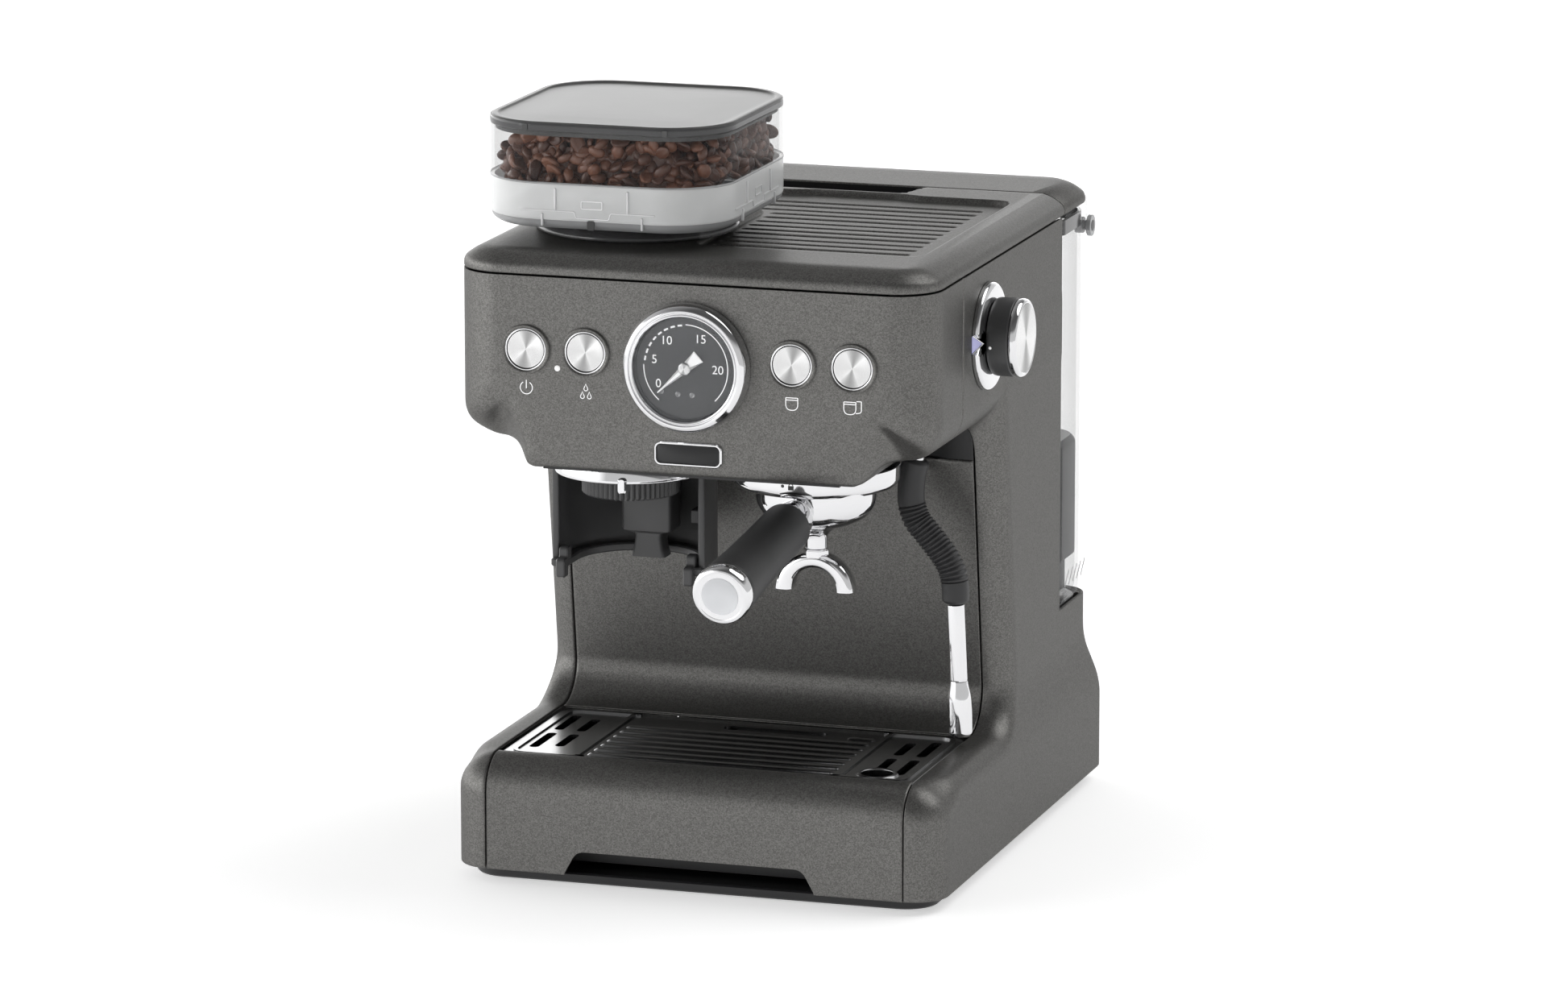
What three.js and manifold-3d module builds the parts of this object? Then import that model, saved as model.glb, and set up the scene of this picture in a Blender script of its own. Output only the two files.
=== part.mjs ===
// Espresso machine with a built-in grinder, in millimetres, +Z up.
// The origin is on the standing surface, under the middle of the base. The front faces -Y.
import * as THREE from "three";
import { mergeVertices } from "three/addons/utils/BufferGeometryUtils.js";
import Module from "manifold-3d";

const wasm = await Module();
wasm.setup();

// ---- Driving dimensions ----
const GAP = 0.35; // clearance between neighbouring pieces
const WALL = 3; // moulded casing thickness
const HEAD_HALF = 144.5; // half width of the head and the column
const BASE_HALF = 149.5; // half width of the base
const HEAD_FRONT = -180;
const BASE_FRONT = -175;
const BASE_REAR = 184;
const COLUMN_REAR = 168;
const FASCIA_BACK = -113; // seam between the fascia and the side panels
const LID_SEAM_Z = 364.6;
const DECK_Z = 377.5;
const HEAD_BOTTOM_Z = 250.8;
const CHEEK_Z = 263; // lowest point of the round cheeks beside the stem
const CHEEK_R = 23;
const HEAD_CORNER_R = 28;
const BASE_CORNER_R = 22;
const SHOULDER_Z = 75; // top of the base beside the drip plate
const SHOULDER_R = 11;
const PLINTH_Z = 8; // lower edge of the painted casing
const PANEL_HALF = 127.6; // seam between the side panels and the middle panels
const TANK_FRONT = 98.5;
const TANK_BOTTOM = 122.5;
const LID_SPLIT = 103.2; // seam between the cup deck and the tank lid
const TANK_FACE = LID_SPLIT + 0.6; // front of the tank, clear of the deck when it is lifted out
const LID_REAR = 174;
const TRAY_TOP_Z = 73;
const FILLET_R = 24; // sweep from the splash panel into the base
const SPLASH_FOOT_Y = -11.5; // splash face just above that sweep
const SPLASH_LEAN = 0.14; // how far the splash comes forward per millimetre of height
const SPLASH_TOP_Z = 240;
const BUTTON_R = 12.8;
const BUTTON_Z = 321.3;
const GAUGE_Z = 316.7;
const GAUGE_R = 37.75;
const GROUP = new THREE.Vector2(55, -110);
const COLLAR_R = 49;
const COLLAR_Z = 237.5;
const CUP_R = 35.4; // portafilter body
const GRIND = new THREE.Vector2(-58, -112); // dosing ring and grind dial
const BURR = new THREE.Vector2(-65.5, -75); // burrs, hopper neck
const HOPPER = { x0: -140, x1: 9, y0: -156, y1: 6, r: 40, z0: 386, z1: 444.3, top: 450 };
const KNOB = new THREE.Vector2(-64, 322); // steam knob centre, as y and z
const WAND = new THREE.Vector3(101.7, -62, 246);
const PIN = new THREE.Vector2(156, 350); // tank lid hinge, as y and z
const LAMP_X = -79.5; // status lamp between the two left buttons
const LAMP_Z = 311;
const BADGE_Z = 265.3;
const GLAND = new THREE.Vector2(84, 36); // mains cord gland in the rear cover, as x and z
const buttonPlaces = [["power", -98.5], ["rinse", -62.2], ["one_cup", 62.2], ["two_cups", 98.5]];
const footPlaces = {
  front_left: [-118, -140],
  front_right: [118, -140],
  rear_left: [-118, 150],
  rear_right: [118, 150],
};

// ---- Materials ----
const finish = (color, roughness, metalness, extra = {}) =>
  new THREE.MeshStandardMaterial({ color, roughness, metalness, ...extra });
const paint = finish(0x696866, 0.5, 0.6);
const chrome = finish(0xd8d8da, 0.12, 1);
const brushed = finish(0xc8c8c8, 0.3, 1);
const steel = finish(0x5c5c5e, 0.25, 1);
const plastic = finish(0x2c2c2e, 0.5, 0);
const rubber = finish(0x1e1e1f, 0.8, 0);
const clear = finish(0xe8eef0, 0.05, 0, { transparent: true, opacity: 0.35 });
const smoke = finish(0x6a6a6c, 0.1, 0, { transparent: true, opacity: 0.6 });
const black = finish(0x101011, 0.4, 0);
const lamp = finish(0xffffff, 0.3, 0);
const brass = finish(0xb08a4a, 0.35, 1);
const board = finish(0x1f5a34, 0.6, 0);

// ---- Solids ----
function solid(geometry) {
  const bare = new THREE.BufferGeometry();
  bare.setAttribute("position", geometry.getAttribute("position"));
  if (geometry.index) bare.setIndex(geometry.index);
  const merged = mergeVertices(bare, 1e-3);
  const mesh = (triVerts) =>
    new wasm.Mesh({ numProp: 3, vertProperties: merged.attributes.position.array, triVerts });
  const faces = new Uint32Array(merged.index.array);
  const made = new wasm.Manifold(mesh(faces));
  if (made.volume() > 0) return made;
  return new wasm.Manifold(mesh(faces.reverse()));
}

const join = (first, ...rest) => rest.reduce((sum, piece) => sum.add(piece), first);
const cut = (first, ...rest) => rest.reduce((sum, piece) => sum.subtract(piece), first);
const meet = (first, ...rest) => rest.reduce((sum, piece) => sum.intersect(piece), first);

function box(x0, x1, y0, y1, z0, z1) {
  const geometry = new THREE.BoxGeometry(x1 - x0, y1 - y0, z1 - z0);
  return solid(geometry.translate((x0 + x1) / 2, (y0 + y1) / 2, (z0 + z1) / 2));
}

function extrude(shape, depth, curveSegments = 6) {
  return new THREE.ExtrudeGeometry(shape, { depth, bevelEnabled: false, curveSegments, steps: 1 });
}

const AXIS_X = new THREE.Vector3(1, 0, 0);
const AXIS_Y = new THREE.Vector3(0, 1, 0);
const AXIS_Z = new THREE.Vector3(0, 0, 1);

// A shape drawn in x and y, standing from z0 to z1.
const prismZ = (shape, z0, z1, segments) =>
  solid(extrude(shape, z1 - z0, segments).translate(0, 0, z0));

// A shape drawn in y and z, running from x0 to x1.
function prismX(shape, x0, x1, segments) {
  const turn = new THREE.Matrix4().makeBasis(AXIS_Y, AXIS_Z, AXIS_X);
  return solid(extrude(shape, x1 - x0, segments).applyMatrix4(turn).translate(x0, 0, 0));
}

// A shape drawn in x and z, running from y0 to y1.
function prismY(shape, y0, y1, segments) {
  const turn = new THREE.Matrix4().makeBasis(AXIS_X, AXIS_Z, AXIS_Y.clone().negate());
  return solid(extrude(shape, y1 - y0, segments).applyMatrix4(turn).translate(0, y1, 0));
}

// A profile of [radius, height] pairs, spun about a line along axis through the point at.
function spin(profile, at, axis = AXIS_Z, segments = 20) {
  const points = profile.map(([r, h]) => new THREE.Vector2(r, h));
  const hollow = points[0].x > 0 && points.at(-1).x > 0;
  if (hollow) points.push(points[0].clone());
  const turn = new THREE.Quaternion().setFromUnitVectors(AXIS_Y, axis.clone().normalize());
  const geometry = new THREE.LatheGeometry(points, segments).applyQuaternion(turn);
  return solid(geometry.translate(at.x, at.y, at.z));
}

const disc = (r, h0, h1, at, axis, segments) =>
  spin([[0, h0], [r, h0], [r, h1], [0, h1]], at, axis, segments);
const ring = (inner, outer, h0, h1, at, axis, segments) =>
  spin([[inner, h0], [outer, h0], [outer, h1], [inner, h1]], at, axis, segments);
const onFloor = (xy, z = 0) => new THREE.Vector3(xy.x, xy.y, z);

function shapeOf(points) {
  return new THREE.Shape(points.map(([x, y]) => new THREE.Vector2(x, y)));
}

// Corner points of a rectangle with its own radius at the low-y and the high-y corners.
function roundedLoop(x0, x1, y0, y1, rLow, rHigh, steps = 4) {
  const corners = [
    [x1 - rLow, y0 + rLow, rLow, -90],
    [x1 - rHigh, y1 - rHigh, rHigh, 0],
    [x0 + rHigh, y1 - rHigh, rHigh, 90],
    [x0 + rLow, y0 + rLow, rLow, 180],
  ];
  const loop = [];
  for (const [cx, cy, r, start] of corners) {
    for (let i = 0; i <= steps; i++) {
      const angle = THREE.MathUtils.degToRad(start + (90 * i) / steps);
      loop.push([cx + r * Math.cos(angle), cy + r * Math.sin(angle)]);
    }
  }
  return loop;
}

const roundedShape = (...sizes) => shapeOf(roundedLoop(...sizes));

// Loops with the same number of points, each at its own height, joined into one closed body.
function loft(levels) {
  const count = levels[0].loop.length;
  const positions = [];
  const index = [];
  for (const { loop, z } of levels) {
    for (const [x, y] of loop) positions.push(x, y, z);
  }
  for (let k = 0; k + 1 < levels.length; k++) {
    for (let i = 0; i < count; i++) {
      const a = k * count + i;
      const b = k * count + ((i + 1) % count);
      index.push(a, b, b + count, a, b + count, a + count);
    }
  }
  const cap = (k, flip) => {
    const contour = levels[k].loop.map(([x, y]) => new THREE.Vector2(x, y));
    for (const [a, b, c] of THREE.ShapeUtils.triangulateShape(contour, [])) {
      const face = [a, b, c].map((i) => i + k * count);
      index.push(...(flip ? face.reverse() : face));
    }
  };
  cap(0, true);
  cap(levels.length - 1, false);
  const geometry = new THREE.BufferGeometry();
  geometry.setAttribute("position", new THREE.Float32BufferAttribute(positions, 3));
  return solid(geometry.setIndex(index));
}

function sweep(points, radius, steps, sides = 12) {
  const section = new THREE.Shape().absarc(0, 0, radius, 0, Math.PI * 2);
  const extrudePath = new THREE.CatmullRomCurve3(points);
  const options = { steps, extrudePath, bevelEnabled: false, curveSegments: sides / 2 };
  return solid(new THREE.ExtrudeGeometry(section, options));
}

const machine = new THREE.Group();

function add(name, shape, material) {
  const { numProp, vertProperties, triVerts } = shape.getMesh();
  const positions = new Float32Array((vertProperties.length / numProp) * 3);
  for (let i = 0; i < positions.length / 3; i++) {
    positions.set(vertProperties.subarray(i * numProp, i * numProp + 3), i * 3);
  }
  const geometry = new THREE.BufferGeometry();
  geometry.setAttribute("position", new THREE.BufferAttribute(positions, 3));
  geometry.setIndex(new THREE.BufferAttribute(triVerts, 1));
  const mesh = new THREE.Mesh(geometry, material);
  mesh.name = name;
  machine.add(mesh);
}

// ---- Casing: one outer body and the same body shrunk by the wall, sliced into panels ----

// Front outline of the head in x and z: straight sides, round cheeks, and a narrower stem.
function headOutline(inset, topZ) {
  const half = HEAD_HALF - inset;
  const centre = HEAD_HALF - CHEEK_R;
  const bottom = HEAD_BOTTOM_Z + inset;
  const side = [];
  for (let degrees = 0; degrees <= 80; degrees += 20) {
    const angle = THREE.MathUtils.degToRad(degrees);
    const r = CHEEK_R - inset;
    side.push([centre + r * Math.cos(angle), CHEEK_Z + CHEEK_R - r * Math.sin(angle)]);
  }
  const stem = [[centre, CHEEK_Z], [113, 262.4], [108.5, 260], [104.5, 255.2], [101.5, 252], [97, HEAD_BOTTOM_Z]];
  for (const [x, z] of stem) side.push([x - inset, Math.max(z + inset * 0.6, bottom)]);
  const mirrored = side.map(([x, z]) => [-x, z]).reverse();
  return shapeOf([[half, topZ], ...side, ...mirrored, [-half, topZ]]);
}

function headBody(inset, topZ) {
  const half = HEAD_HALF - inset;
  const r = HEAD_CORNER_R - inset;
  const plan = roundedShape(-half, half, HEAD_FRONT + inset, 150, r, 8);
  const block = prismY(headOutline(inset, topZ), HEAD_FRONT - 1, TANK_FRONT);
  return meet(block, prismZ(plan, 200, topZ + 1));
}

function splashFace(z) {
  const centreZ = SHOULDER_Z + FILLET_R;
  const rise = z - centreZ;
  if (rise <= 0) return SPLASH_FOOT_Y - FILLET_R + Math.sqrt(FILLET_R ** 2 - rise ** 2);
  return SPLASH_FOOT_Y - SPLASH_LEAN * rise;
}

// 0 up the column, growing to 1 where the foot flares out to the base.
const flare = (z) => 0.5 - 0.5 * Math.cos(Math.PI * THREE.MathUtils.clamp((100 - z) / 45, 0, 1));

function columnBody(inset) {
  const levels = [75.01, 78, 84, 91, 99, 240, 262, 300].map((z) => {
    const half = HEAD_HALF + (BASE_HALF - HEAD_HALF) * flare(z) - inset;
    const front = splashFace(z) + inset;
    const rear = COLUMN_REAR + (BASE_REAR - COLUMN_REAR) * flare(z) - inset;
    return { z, loop: roundedLoop(-half, half, front, rear, 18 - inset, 16 - inset) };
  });
  const floor = levels[0];
  return loft([{ ...floor, z: inset ? 60 : 68 }, ...levels]);
}

function baseBody(inset) {
  const half = BASE_HALF - inset;
  const front = BASE_FRONT + inset;
  const rear = BASE_REAR - inset;
  const top = SHOULDER_Z - inset;
  const low = inset ? -1 : PLINTH_Z;
  const r = BASE_CORNER_R - inset;
  const shoulder = SHOULDER_R - inset;
  const plan = prismZ(roundedShape(-half, half, front, rear, r, 16 - inset), low, top);
  const side = new THREE.Shape();
  side.moveTo(front, low);
  side.lineTo(rear, low);
  side.lineTo(rear, top);
  side.lineTo(front + r, top);
  side.absarc(front + r, top - r, r, Math.PI / 2, Math.PI, false);
  const across = roundedShape(-half, half, low, top, 0.01, shoulder);
  return meet(plan, prismX(side, -half, half), prismY(across, front, rear));
}

const shellSolid = cut(
  join(baseBody(0), columnBody(0), headBody(0, LID_SEAM_Z)),
  join(baseBody(WALL), columnBody(WALL), headBody(WALL, LID_SEAM_Z + 5)),
  box(-200, 200, TANK_FRONT, 260, TANK_BOTTOM, 400),
);
const middle = PANEL_HALF - GAP;

function buildCasing() {
  for (const [side, sign] of [["left", -1], ["right", 1]]) {
    const [x0, x1] = [PANEL_HALF * sign, 200 * sign].sort((a, b) => a - b);
    const below = box(x0, x1, -200, 200, 0, SPLASH_TOP_Z);
    const above = box(x0, x1, FASCIA_BACK + GAP, 200, SPLASH_TOP_Z - 1, 400);
    const panel = meet(shellSolid, join(below, above));
    const shaft = disc(5, 0, 300, new THREE.Vector3(0, KNOB.x, KNOB.y), AXIS_X, 16);
    add(`side_panel_${side}`, sign > 0 ? cut(panel, shaft) : panel, paint);
  }
  add("splash_panel", meet(shellSolid, box(-middle, middle, -36, 20, 68, SPLASH_TOP_Z)), paint);

  const holes = buttonPlaces.map(([, x]) =>
    disc(BUTTON_R + 1.5, 0, 20, new THREE.Vector3(x, HEAD_FRONT - 5, BUTTON_Z), AXIS_Y, 16));
  const openFloor = box(-90, 90, HEAD_FRONT + WALL, 0, 200, HEAD_BOTTOM_Z + WALL + 3);
  const gaugeHole = disc(33.5, 0, 20, new THREE.Vector3(0, HEAD_FRONT - 5, GAUGE_Z), AXIS_Y);
  const lampHole = disc(2.2, 0, 20, new THREE.Vector3(LAMP_X, HEAD_FRONT - 5, LAMP_Z), AXIS_Y, 12);
  const front = meet(shellSolid, box(-200, 200, -200, FASCIA_BACK, 245, 400));
  add("head_fascia", cut(front, openFloor, gaugeHole, lampHole, ...holes), paint);

  const rearPart = box(-middle, middle, FASCIA_BACK + GAP, 0, SPLASH_TOP_Z + GAP, 290);
  const rearFloor = meet(shellSolid, rearPart);
  const frontFloor = box(-90 + GAP, 90 - GAP, HEAD_FRONT + WALL + GAP, FASCIA_BACK + 3,
    HEAD_BOTTOM_Z, HEAD_BOTTOM_Z + WALL);
  const ringHole = disc(28, 200, 300, onFloor(GRIND));
  const collarHole = disc(31, 200, 300, onFloor(GROUP));
  const wandHole = disc(11, 200, 290, onFloor(WAND), AXIS_Z, 20);
  add("head_underside", cut(join(rearFloor, frontFloor), ringHole, collarHole, wandHole), black);

  const lower = meet(shellSolid, box(-middle, middle, 60, 200, PLINTH_Z, TANK_BOTTOM));
  const shelfPlan = roundedShape(-140, 140, 93, COLUMN_REAR - WALL - 0.5, 1, 22);
  const shelf = prismZ(shelfPlan, TANK_BOTTOM - 3.5, TANK_BOTTOM - GAP);
  const wall = box(-140, 140, TANK_FRONT - 4, TANK_FRONT - GAP, TANK_BOTTOM - 3, LID_SEAM_Z - GAP);
  const web = box(-12, 12, COLUMN_REAR - 8, COLUMN_REAR - 1, 105, TANK_BOTTOM - 1);
  const socket = disc(9, 100, 140, new THREE.Vector3(0, 135, 0), AXIS_Z, 20);
  const glandAt = new THREE.Vector3(GLAND.x, BASE_REAR - 1, GLAND.y);
  const gland = disc(12, -15, 0, glandAt, AXIS_Y, 20);
  const glandBore = disc(4.5, -11, 5, glandAt, AXIS_Y, 16);
  add("rear_cover", cut(join(lower, shelf, wall, web, gland), socket, glandBore), plastic);
}

// ---- Base, feet and drip tray ----
function buildBase() {
  const plinth = prismZ(roundedShape(-141.5, 141.5, -167, 176, 20, 14), 1.5, PLINTH_Z - GAP);
  const rail = (x) => box(x, x + 2.5, -150, -37, 7, 69);
  const rearRail = box(-126.3, 126.3, -38, -35.8, 7, 66);
  const pockets = Object.values(footPlaces).map(([x, y]) =>
    disc(12.3, -1, 5.3, new THREE.Vector3(x, y, 0), AXIS_Z, 16));
  add("base_pan", cut(join(plinth, rail(-126.3), rail(123.8), rearRail), ...pockets), black);
  for (const [place, [x, y]] of Object.entries(footPlaces)) {
    const profile = [[0, 0], [11, 0], [12, 1.2], [12, 5], [0, 5]];
    add(`foot_${place}`, spin(profile, new THREE.Vector3(x, y, 0), AXIS_Z, 16), rubber);
  }
}

function slot(x0, x1, y0, y1, z0, z1) {
  const r = Math.min(x1 - x0, y1 - y0) / 2 - 0.01;
  return prismZ(roundedShape(x0, x1, y0, y1, r, r, 2), z0, z1);
}

function buildTray() {
  const notch = shapeOf([[-80, 0], [75, 0], [74, 8.5], [66, 22.6], [-71, 22.6], [-79, 8.5]]);
  const front = meet(shellSolid, box(-middle, middle, -200, -153, PLINTH_Z, 90));
  add("tray_front", cut(front, prismY(notch, -200, -140)), paint);

  const outer = prismZ(roundedShape(-121, 121, -148, -41, 8, 8), 10, 69.9);
  const inner = prismZ(roundedShape(-118.5, 118.5, -145.5, -43.5, 6, 6), 12.5, 80);
  const bracket = box(-100, 100, -171.5, -146, 30, 33);
  add("drip_tray", join(cut(outer, inner), bracket), black);

  const sheet = prismZ(roundedShape(-126.4, 126.4, -152.5, -36.5, 3, 10), 70.5, TRAY_TOP_Z);
  const cuts = [];
  for (const side of [-1, 1]) {
    for (const [inset, length] of [[14, 40], [28, 34]]) {
      for (const [y0, y1] of [[-94 - length, -97], [-89, -92 + length]]) {
        const x = side * (126.4 - inset);
        cuts.push(slot(x - 3, x + 3, y0, y1, 60, 80));
      }
    }
  }
  cuts.push(slot(-20, 44, -58, -49, 60, 80));
  cuts.push(disc(9.5, 60, 80, new THREE.Vector3(101, -138, 0), AXIS_Z, 16));
  add("drip_plate", cut(sheet, ...cuts), steel);

  const floatBody = join(box(-14, 38, -56.5, -50.5, 30, 70), box(-18, 42, -64, -46, 14, 30));
  add("tray_float", floatBody, plastic);
}

// ---- Cup deck and tank lid ----
const lidLevel = (z, inset) => ({
  z,
  loop: roundedLoop(-HEAD_HALF + inset, HEAD_HALF - inset, HEAD_FRONT + inset, LID_REAR - inset,
    HEAD_CORNER_R - inset, HEAD_CORNER_R - inset),
});

function buildTop() {
  const bottom = LID_SEAM_Z + GAP;
  const lid = loft([lidLevel(bottom, 0), lidLevel(368.8, 0), lidLevel(371.2, 1.2),
    lidLevel(375.6, 7.5), lidLevel(DECK_Z, 13.5)]);
  const hollow = prismZ(roundedShape(-140, 140, -175, 70, 23, 4), bottom - 1, 369.2);
  const recess = join(
    prismZ(roundedShape(-2, 122, -126, 72, 14, 16), 374.2, 380),
    prismZ(roundedShape(-122, 60, 14, 72, 12, 16), 374.2, 380),
  );
  const grooves = [];
  for (let i = 0; i < 13; i++) {
    const y = -117 + 13.7 * i;
    grooves.push(box(y > 18 ? -106 : 6, 107, y - 1.1, y + 1.1, 372.6, 376));
  }
  const pocket = shapeOf([[-118, 79], [50, 79], [60, LID_SPLIT + 1], [-118, LID_SPLIT + 1]]);
  const neck = disc(39.5, 350, 390, onFloor(BURR));
  const front = meet(lid, box(-200, 200, -200, LID_SPLIT, 300, 400));
  add("top_deck", cut(front, hollow, recess, neck, prismZ(pocket, 367, 380), ...grooves), paint);

  const rear = meet(lid, box(-200, 200, LID_SPLIT + GAP, 200, 300, 400));
  const under = join(
    prismZ(roundedShape(-141, 141, LID_SPLIT + 3, LID_REAR - 3, 4, 25), bottom - 1, 368.4),
    prismZ(roundedShape(-128, 128, LID_SPLIT + 3, LID_REAR - 17, 4, 12), bottom - 1, 373.5),
  );
  const ears = [-1, 1].map((side) => {
    const x = side * 143.4;
    const ear = join(box(x - 1, x + 1, PIN.x - 5, PIN.x + 5, PIN.y, 369),
      disc(5, -1, 1, new THREE.Vector3(x, PIN.x, PIN.y), AXIS_X, 16));
    return cut(ear, disc(3.4, -5, 5, new THREE.Vector3(x, PIN.x, PIN.y), AXIS_X, 16));
  });
  add("tank_lid", join(cut(rear, under), ...ears), paint);
}

function buildTank() {
  const outer = roundedShape(-143.8, 143.8, TANK_FACE, COLUMN_REAR, 4, 28);
  const inner = roundedShape(-141.3, 141.3, TANK_FACE + 2.5, COLUMN_REAR - 2.5, 2, 25.5);
  const pinned = (side) => {
    const at = new THREE.Vector3(0, PIN.x, PIN.y);
    const stack = [[5, 137, 142.1], [3, 141, 146], [6.5, 144.8, 147.6]];
    return join(...stack.map(([r, a, b]) => {
      const [low, high] = [a * side, b * side].sort((p, q) => p - q);
      return disc(r, low, high, at, AXIS_X, 14);
    }));
  };
  const tub = cut(prismZ(outer, TANK_BOTTOM, 362), prismZ(inner, TANK_BOTTOM + 3, 370));
  const spigot = disc(8, 112, TANK_BOTTOM + 1, new THREE.Vector3(0, 135, 0), AXIS_Z, 20);
  const drain = disc(4, 100, 140, new THREE.Vector3(0, 135, 0), AXIS_Z, 16);
  add("water_tank", cut(join(tub, pinned(-1), pinned(1), spigot), drain), clear);
  const valve = [[0, 113], [3, 113], [3, 127], [7, 127.5], [7, 130], [0, 130]];
  add("tank_valve", spin(valve, new THREE.Vector3(0, 135, 0), AXIS_Z, 16), rubber);
  const intake = roundedShape(112, 134, 128, 156, 3, 10);
  add("tank_intake", prismZ(intake, TANK_BOTTOM + 3 + GAP, 222), plastic);
}

// ---- Hopper and grinder ----
function hopperLoop(inset, z) {
  const { x0, x1, y0, y1, r } = HOPPER;
  const loop = roundedLoop(x0 + inset, x1 - inset, y0 + inset, y1 - inset, r - inset, r - inset, 5);
  return { z, loop };
}

function buildHopper() {
  const shell = [[7, HOPPER.z0], [1.5, 388.5], [0, 392], [0, HOPPER.z1]];
  const outside = loft(shell.map(([inset, z]) => hopperLoop(inset, z)));
  const inside = loft([hopperLoop(34, 389), hopperLoop(2.6, 417), hopperLoop(2.6, HOPPER.z1 + 1)]);
  const neck = disc(34, 379, 388, onFloor(BURR));
  const throat = disc(30, 370, 395, onFloor(BURR));
  add("hopper_body", cut(join(outside, neck), inside, throat), clear);
  const lidTop = loft([hopperLoop(0, HOPPER.z1 + GAP), hopperLoop(0, 448.6), hopperLoop(1.4, HOPPER.top)]);
  const dish = loft([hopperLoop(7, HOPPER.top - 1.2), hopperLoop(6, HOPPER.top + 1)]);
  const plug = loft([hopperLoop(3.2, 441.5), hopperLoop(3.2, HOPPER.z1 + 1)]);
  add("hopper_lid", join(cut(lidTop, dish), plug), smoke);
  const seat = DECK_Z + GAP;
  const collar = [[36, 370], [39, 370], [39, seat], [60, seat], [60, 380], [54, 385.6], [36, 385.6]];
  add("hopper_collar", spin(collar, onFloor(BURR), AXIS_Z, 24), black);
}

function buildGrinder() {
  const at = onFloor(BURR);
  const chamber = ring(33, 36.4, 276, 369, at);
  const floor = disc(36.4, 276, 279, at);
  const outlet = box(BURR.x - 2, BURR.x + 18, BURR.y - 28, BURR.y - 12, 250, 285);
  const shaftHole = disc(5, 270, 285, at, AXIS_Z, 12);
  const spout = box(BURR.x - 4, BURR.x + 20, BURR.y - 30, BURR.y - 10, 258, 277);
  const openings = join(outlet, shaftHole);
  add("grinder_housing", cut(join(chamber, floor, spout), openings), plastic);
  const lower = [[0, 268], [4, 268], [4, 283], [24, 283], [24, 287], [14, 306], [5, 310], [0, 310]];
  add("lower_burr", spin(lower, at, AXIS_Z, 20), steel);
  const upper = [[15.5, 309], [25.5, 290], [32.5, 290], [32.5, 313], [22, 313]];
  add("upper_burr", spin(upper, at), steel);
  add("grinder_motor", join(
    disc(29, 150, 255, new THREE.Vector3(-70, 42, 0)),
    disc(5, 254, 262, new THREE.Vector3(-70, 42, 0), AXIS_Z, 16)), steel);

  const rim = [[30, 240], [44.6, 239.3], [44.6, 241], [42.5, 250.4], [30, 250.4]];
  const lug = box(GRIND.x + 7, GRIND.x + 12, GRIND.y - 45, GRIND.y - 35, 234, 244);
  add("dosing_ring", join(spin(rim, onFloor(GRIND), AXIS_Z, 24), lug), chrome);
  const teeth = [];
  const toothCount = 18;
  for (let i = 0; i < toothCount; i++) {
    for (const [r, turn] of [[28.9, 0.1], [28.9, 0.5], [27.7, 0.6], [27.7, 1]]) {
      const angle = ((i + turn) / toothCount) * Math.PI * 2;
      teeth.push([GRIND.x + r * Math.cos(angle), GRIND.y + r * Math.sin(angle)]);
    }
  }
  const grip = prismZ(shapeOf(teeth), 226, 238.6);
  const bore = disc(24, 220, 245, onFloor(GRIND));
  const sleeve = ring(24, 27, 238, 256, onFloor(GRIND));
  add("grind_dial", join(cut(grip, bore), sleeve), plastic);

  const [cx, cy, topZ] = [GRIND.x + 1, -78, 225.5];
  const level = (half, deep, z) => {
    return { z, loop: roundedLoop(cx - half, cx + half, cy - deep, cy + deep, 2, 2, 2) };
  };
  const body = loft([level(10, 7, 181), level(8, 7, 196), level(15.5, 10, 198), level(15.5, 10, topZ)]);
  const duct = loft([level(8, 5, 180), level(6, 5, 197), level(13.5, 8, 200), level(13.5, 8, topZ + 1)]);
  const tongue = box(cx - 6, cx + 6, cy + 9, -58.6, 202, 220);
  add("dosing_chute", join(cut(body, duct), tongue), plastic);
}

function buildCradle() {
  const { x } = GRIND;
  const wallShape = (half, front) =>
    roundedShape(x - half, x + half, front, -100 + half, 0.01, half - 0.02, 6);
  const wall = cut(prismZ(wallShape(47, -118), 180, 238.4), prismZ(wallShape(43, -140), 170, 250));
  const rails = cut(prismZ(wallShape(47, -122), 180, 185), prismZ(wallShape(36.5, -140), 170, 250));
  const fingers = [-1, 1].map((side) => {
    const [a, b] = [36.6 * side, 42 * side].sort((p, q) => p - q);
    return join(box(x + a, x + b, -127, -119, 174.5, 186), box(x + a, x + b, -121, -113, 180, 192));
  });
  const hanger = box(x - 30, x + 30, -57, -53, 236, 250.4);
  const plunger = box(x + 24, x + 35, -90, -50, 200, 212);
  add("grinder_cradle", cut(join(wall, rails, ...fingers, hanger), plunger), plastic);
  const key = join(box(x + 26, x + 33, -80, -60, 202, 210), box(x + 26, x + 33, -60.5, -57, 198, 214));
  add("cradle_switch", key, rubber);
}

// ---- Brew group and portafilter ----
const HANDLE_TILT = 8.9;
const HANDLE_TURN = 2.2;
const handleAxis = new THREE.Vector3(0, -1, 0)
  .applyAxisAngle(AXIS_X, THREE.MathUtils.degToRad(HANDLE_TILT))
  .applyAxisAngle(AXIS_Z, -THREE.MathUtils.degToRad(HANDLE_TURN));
const handleStart = new THREE.Vector3(54, -150, 224.5);

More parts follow.
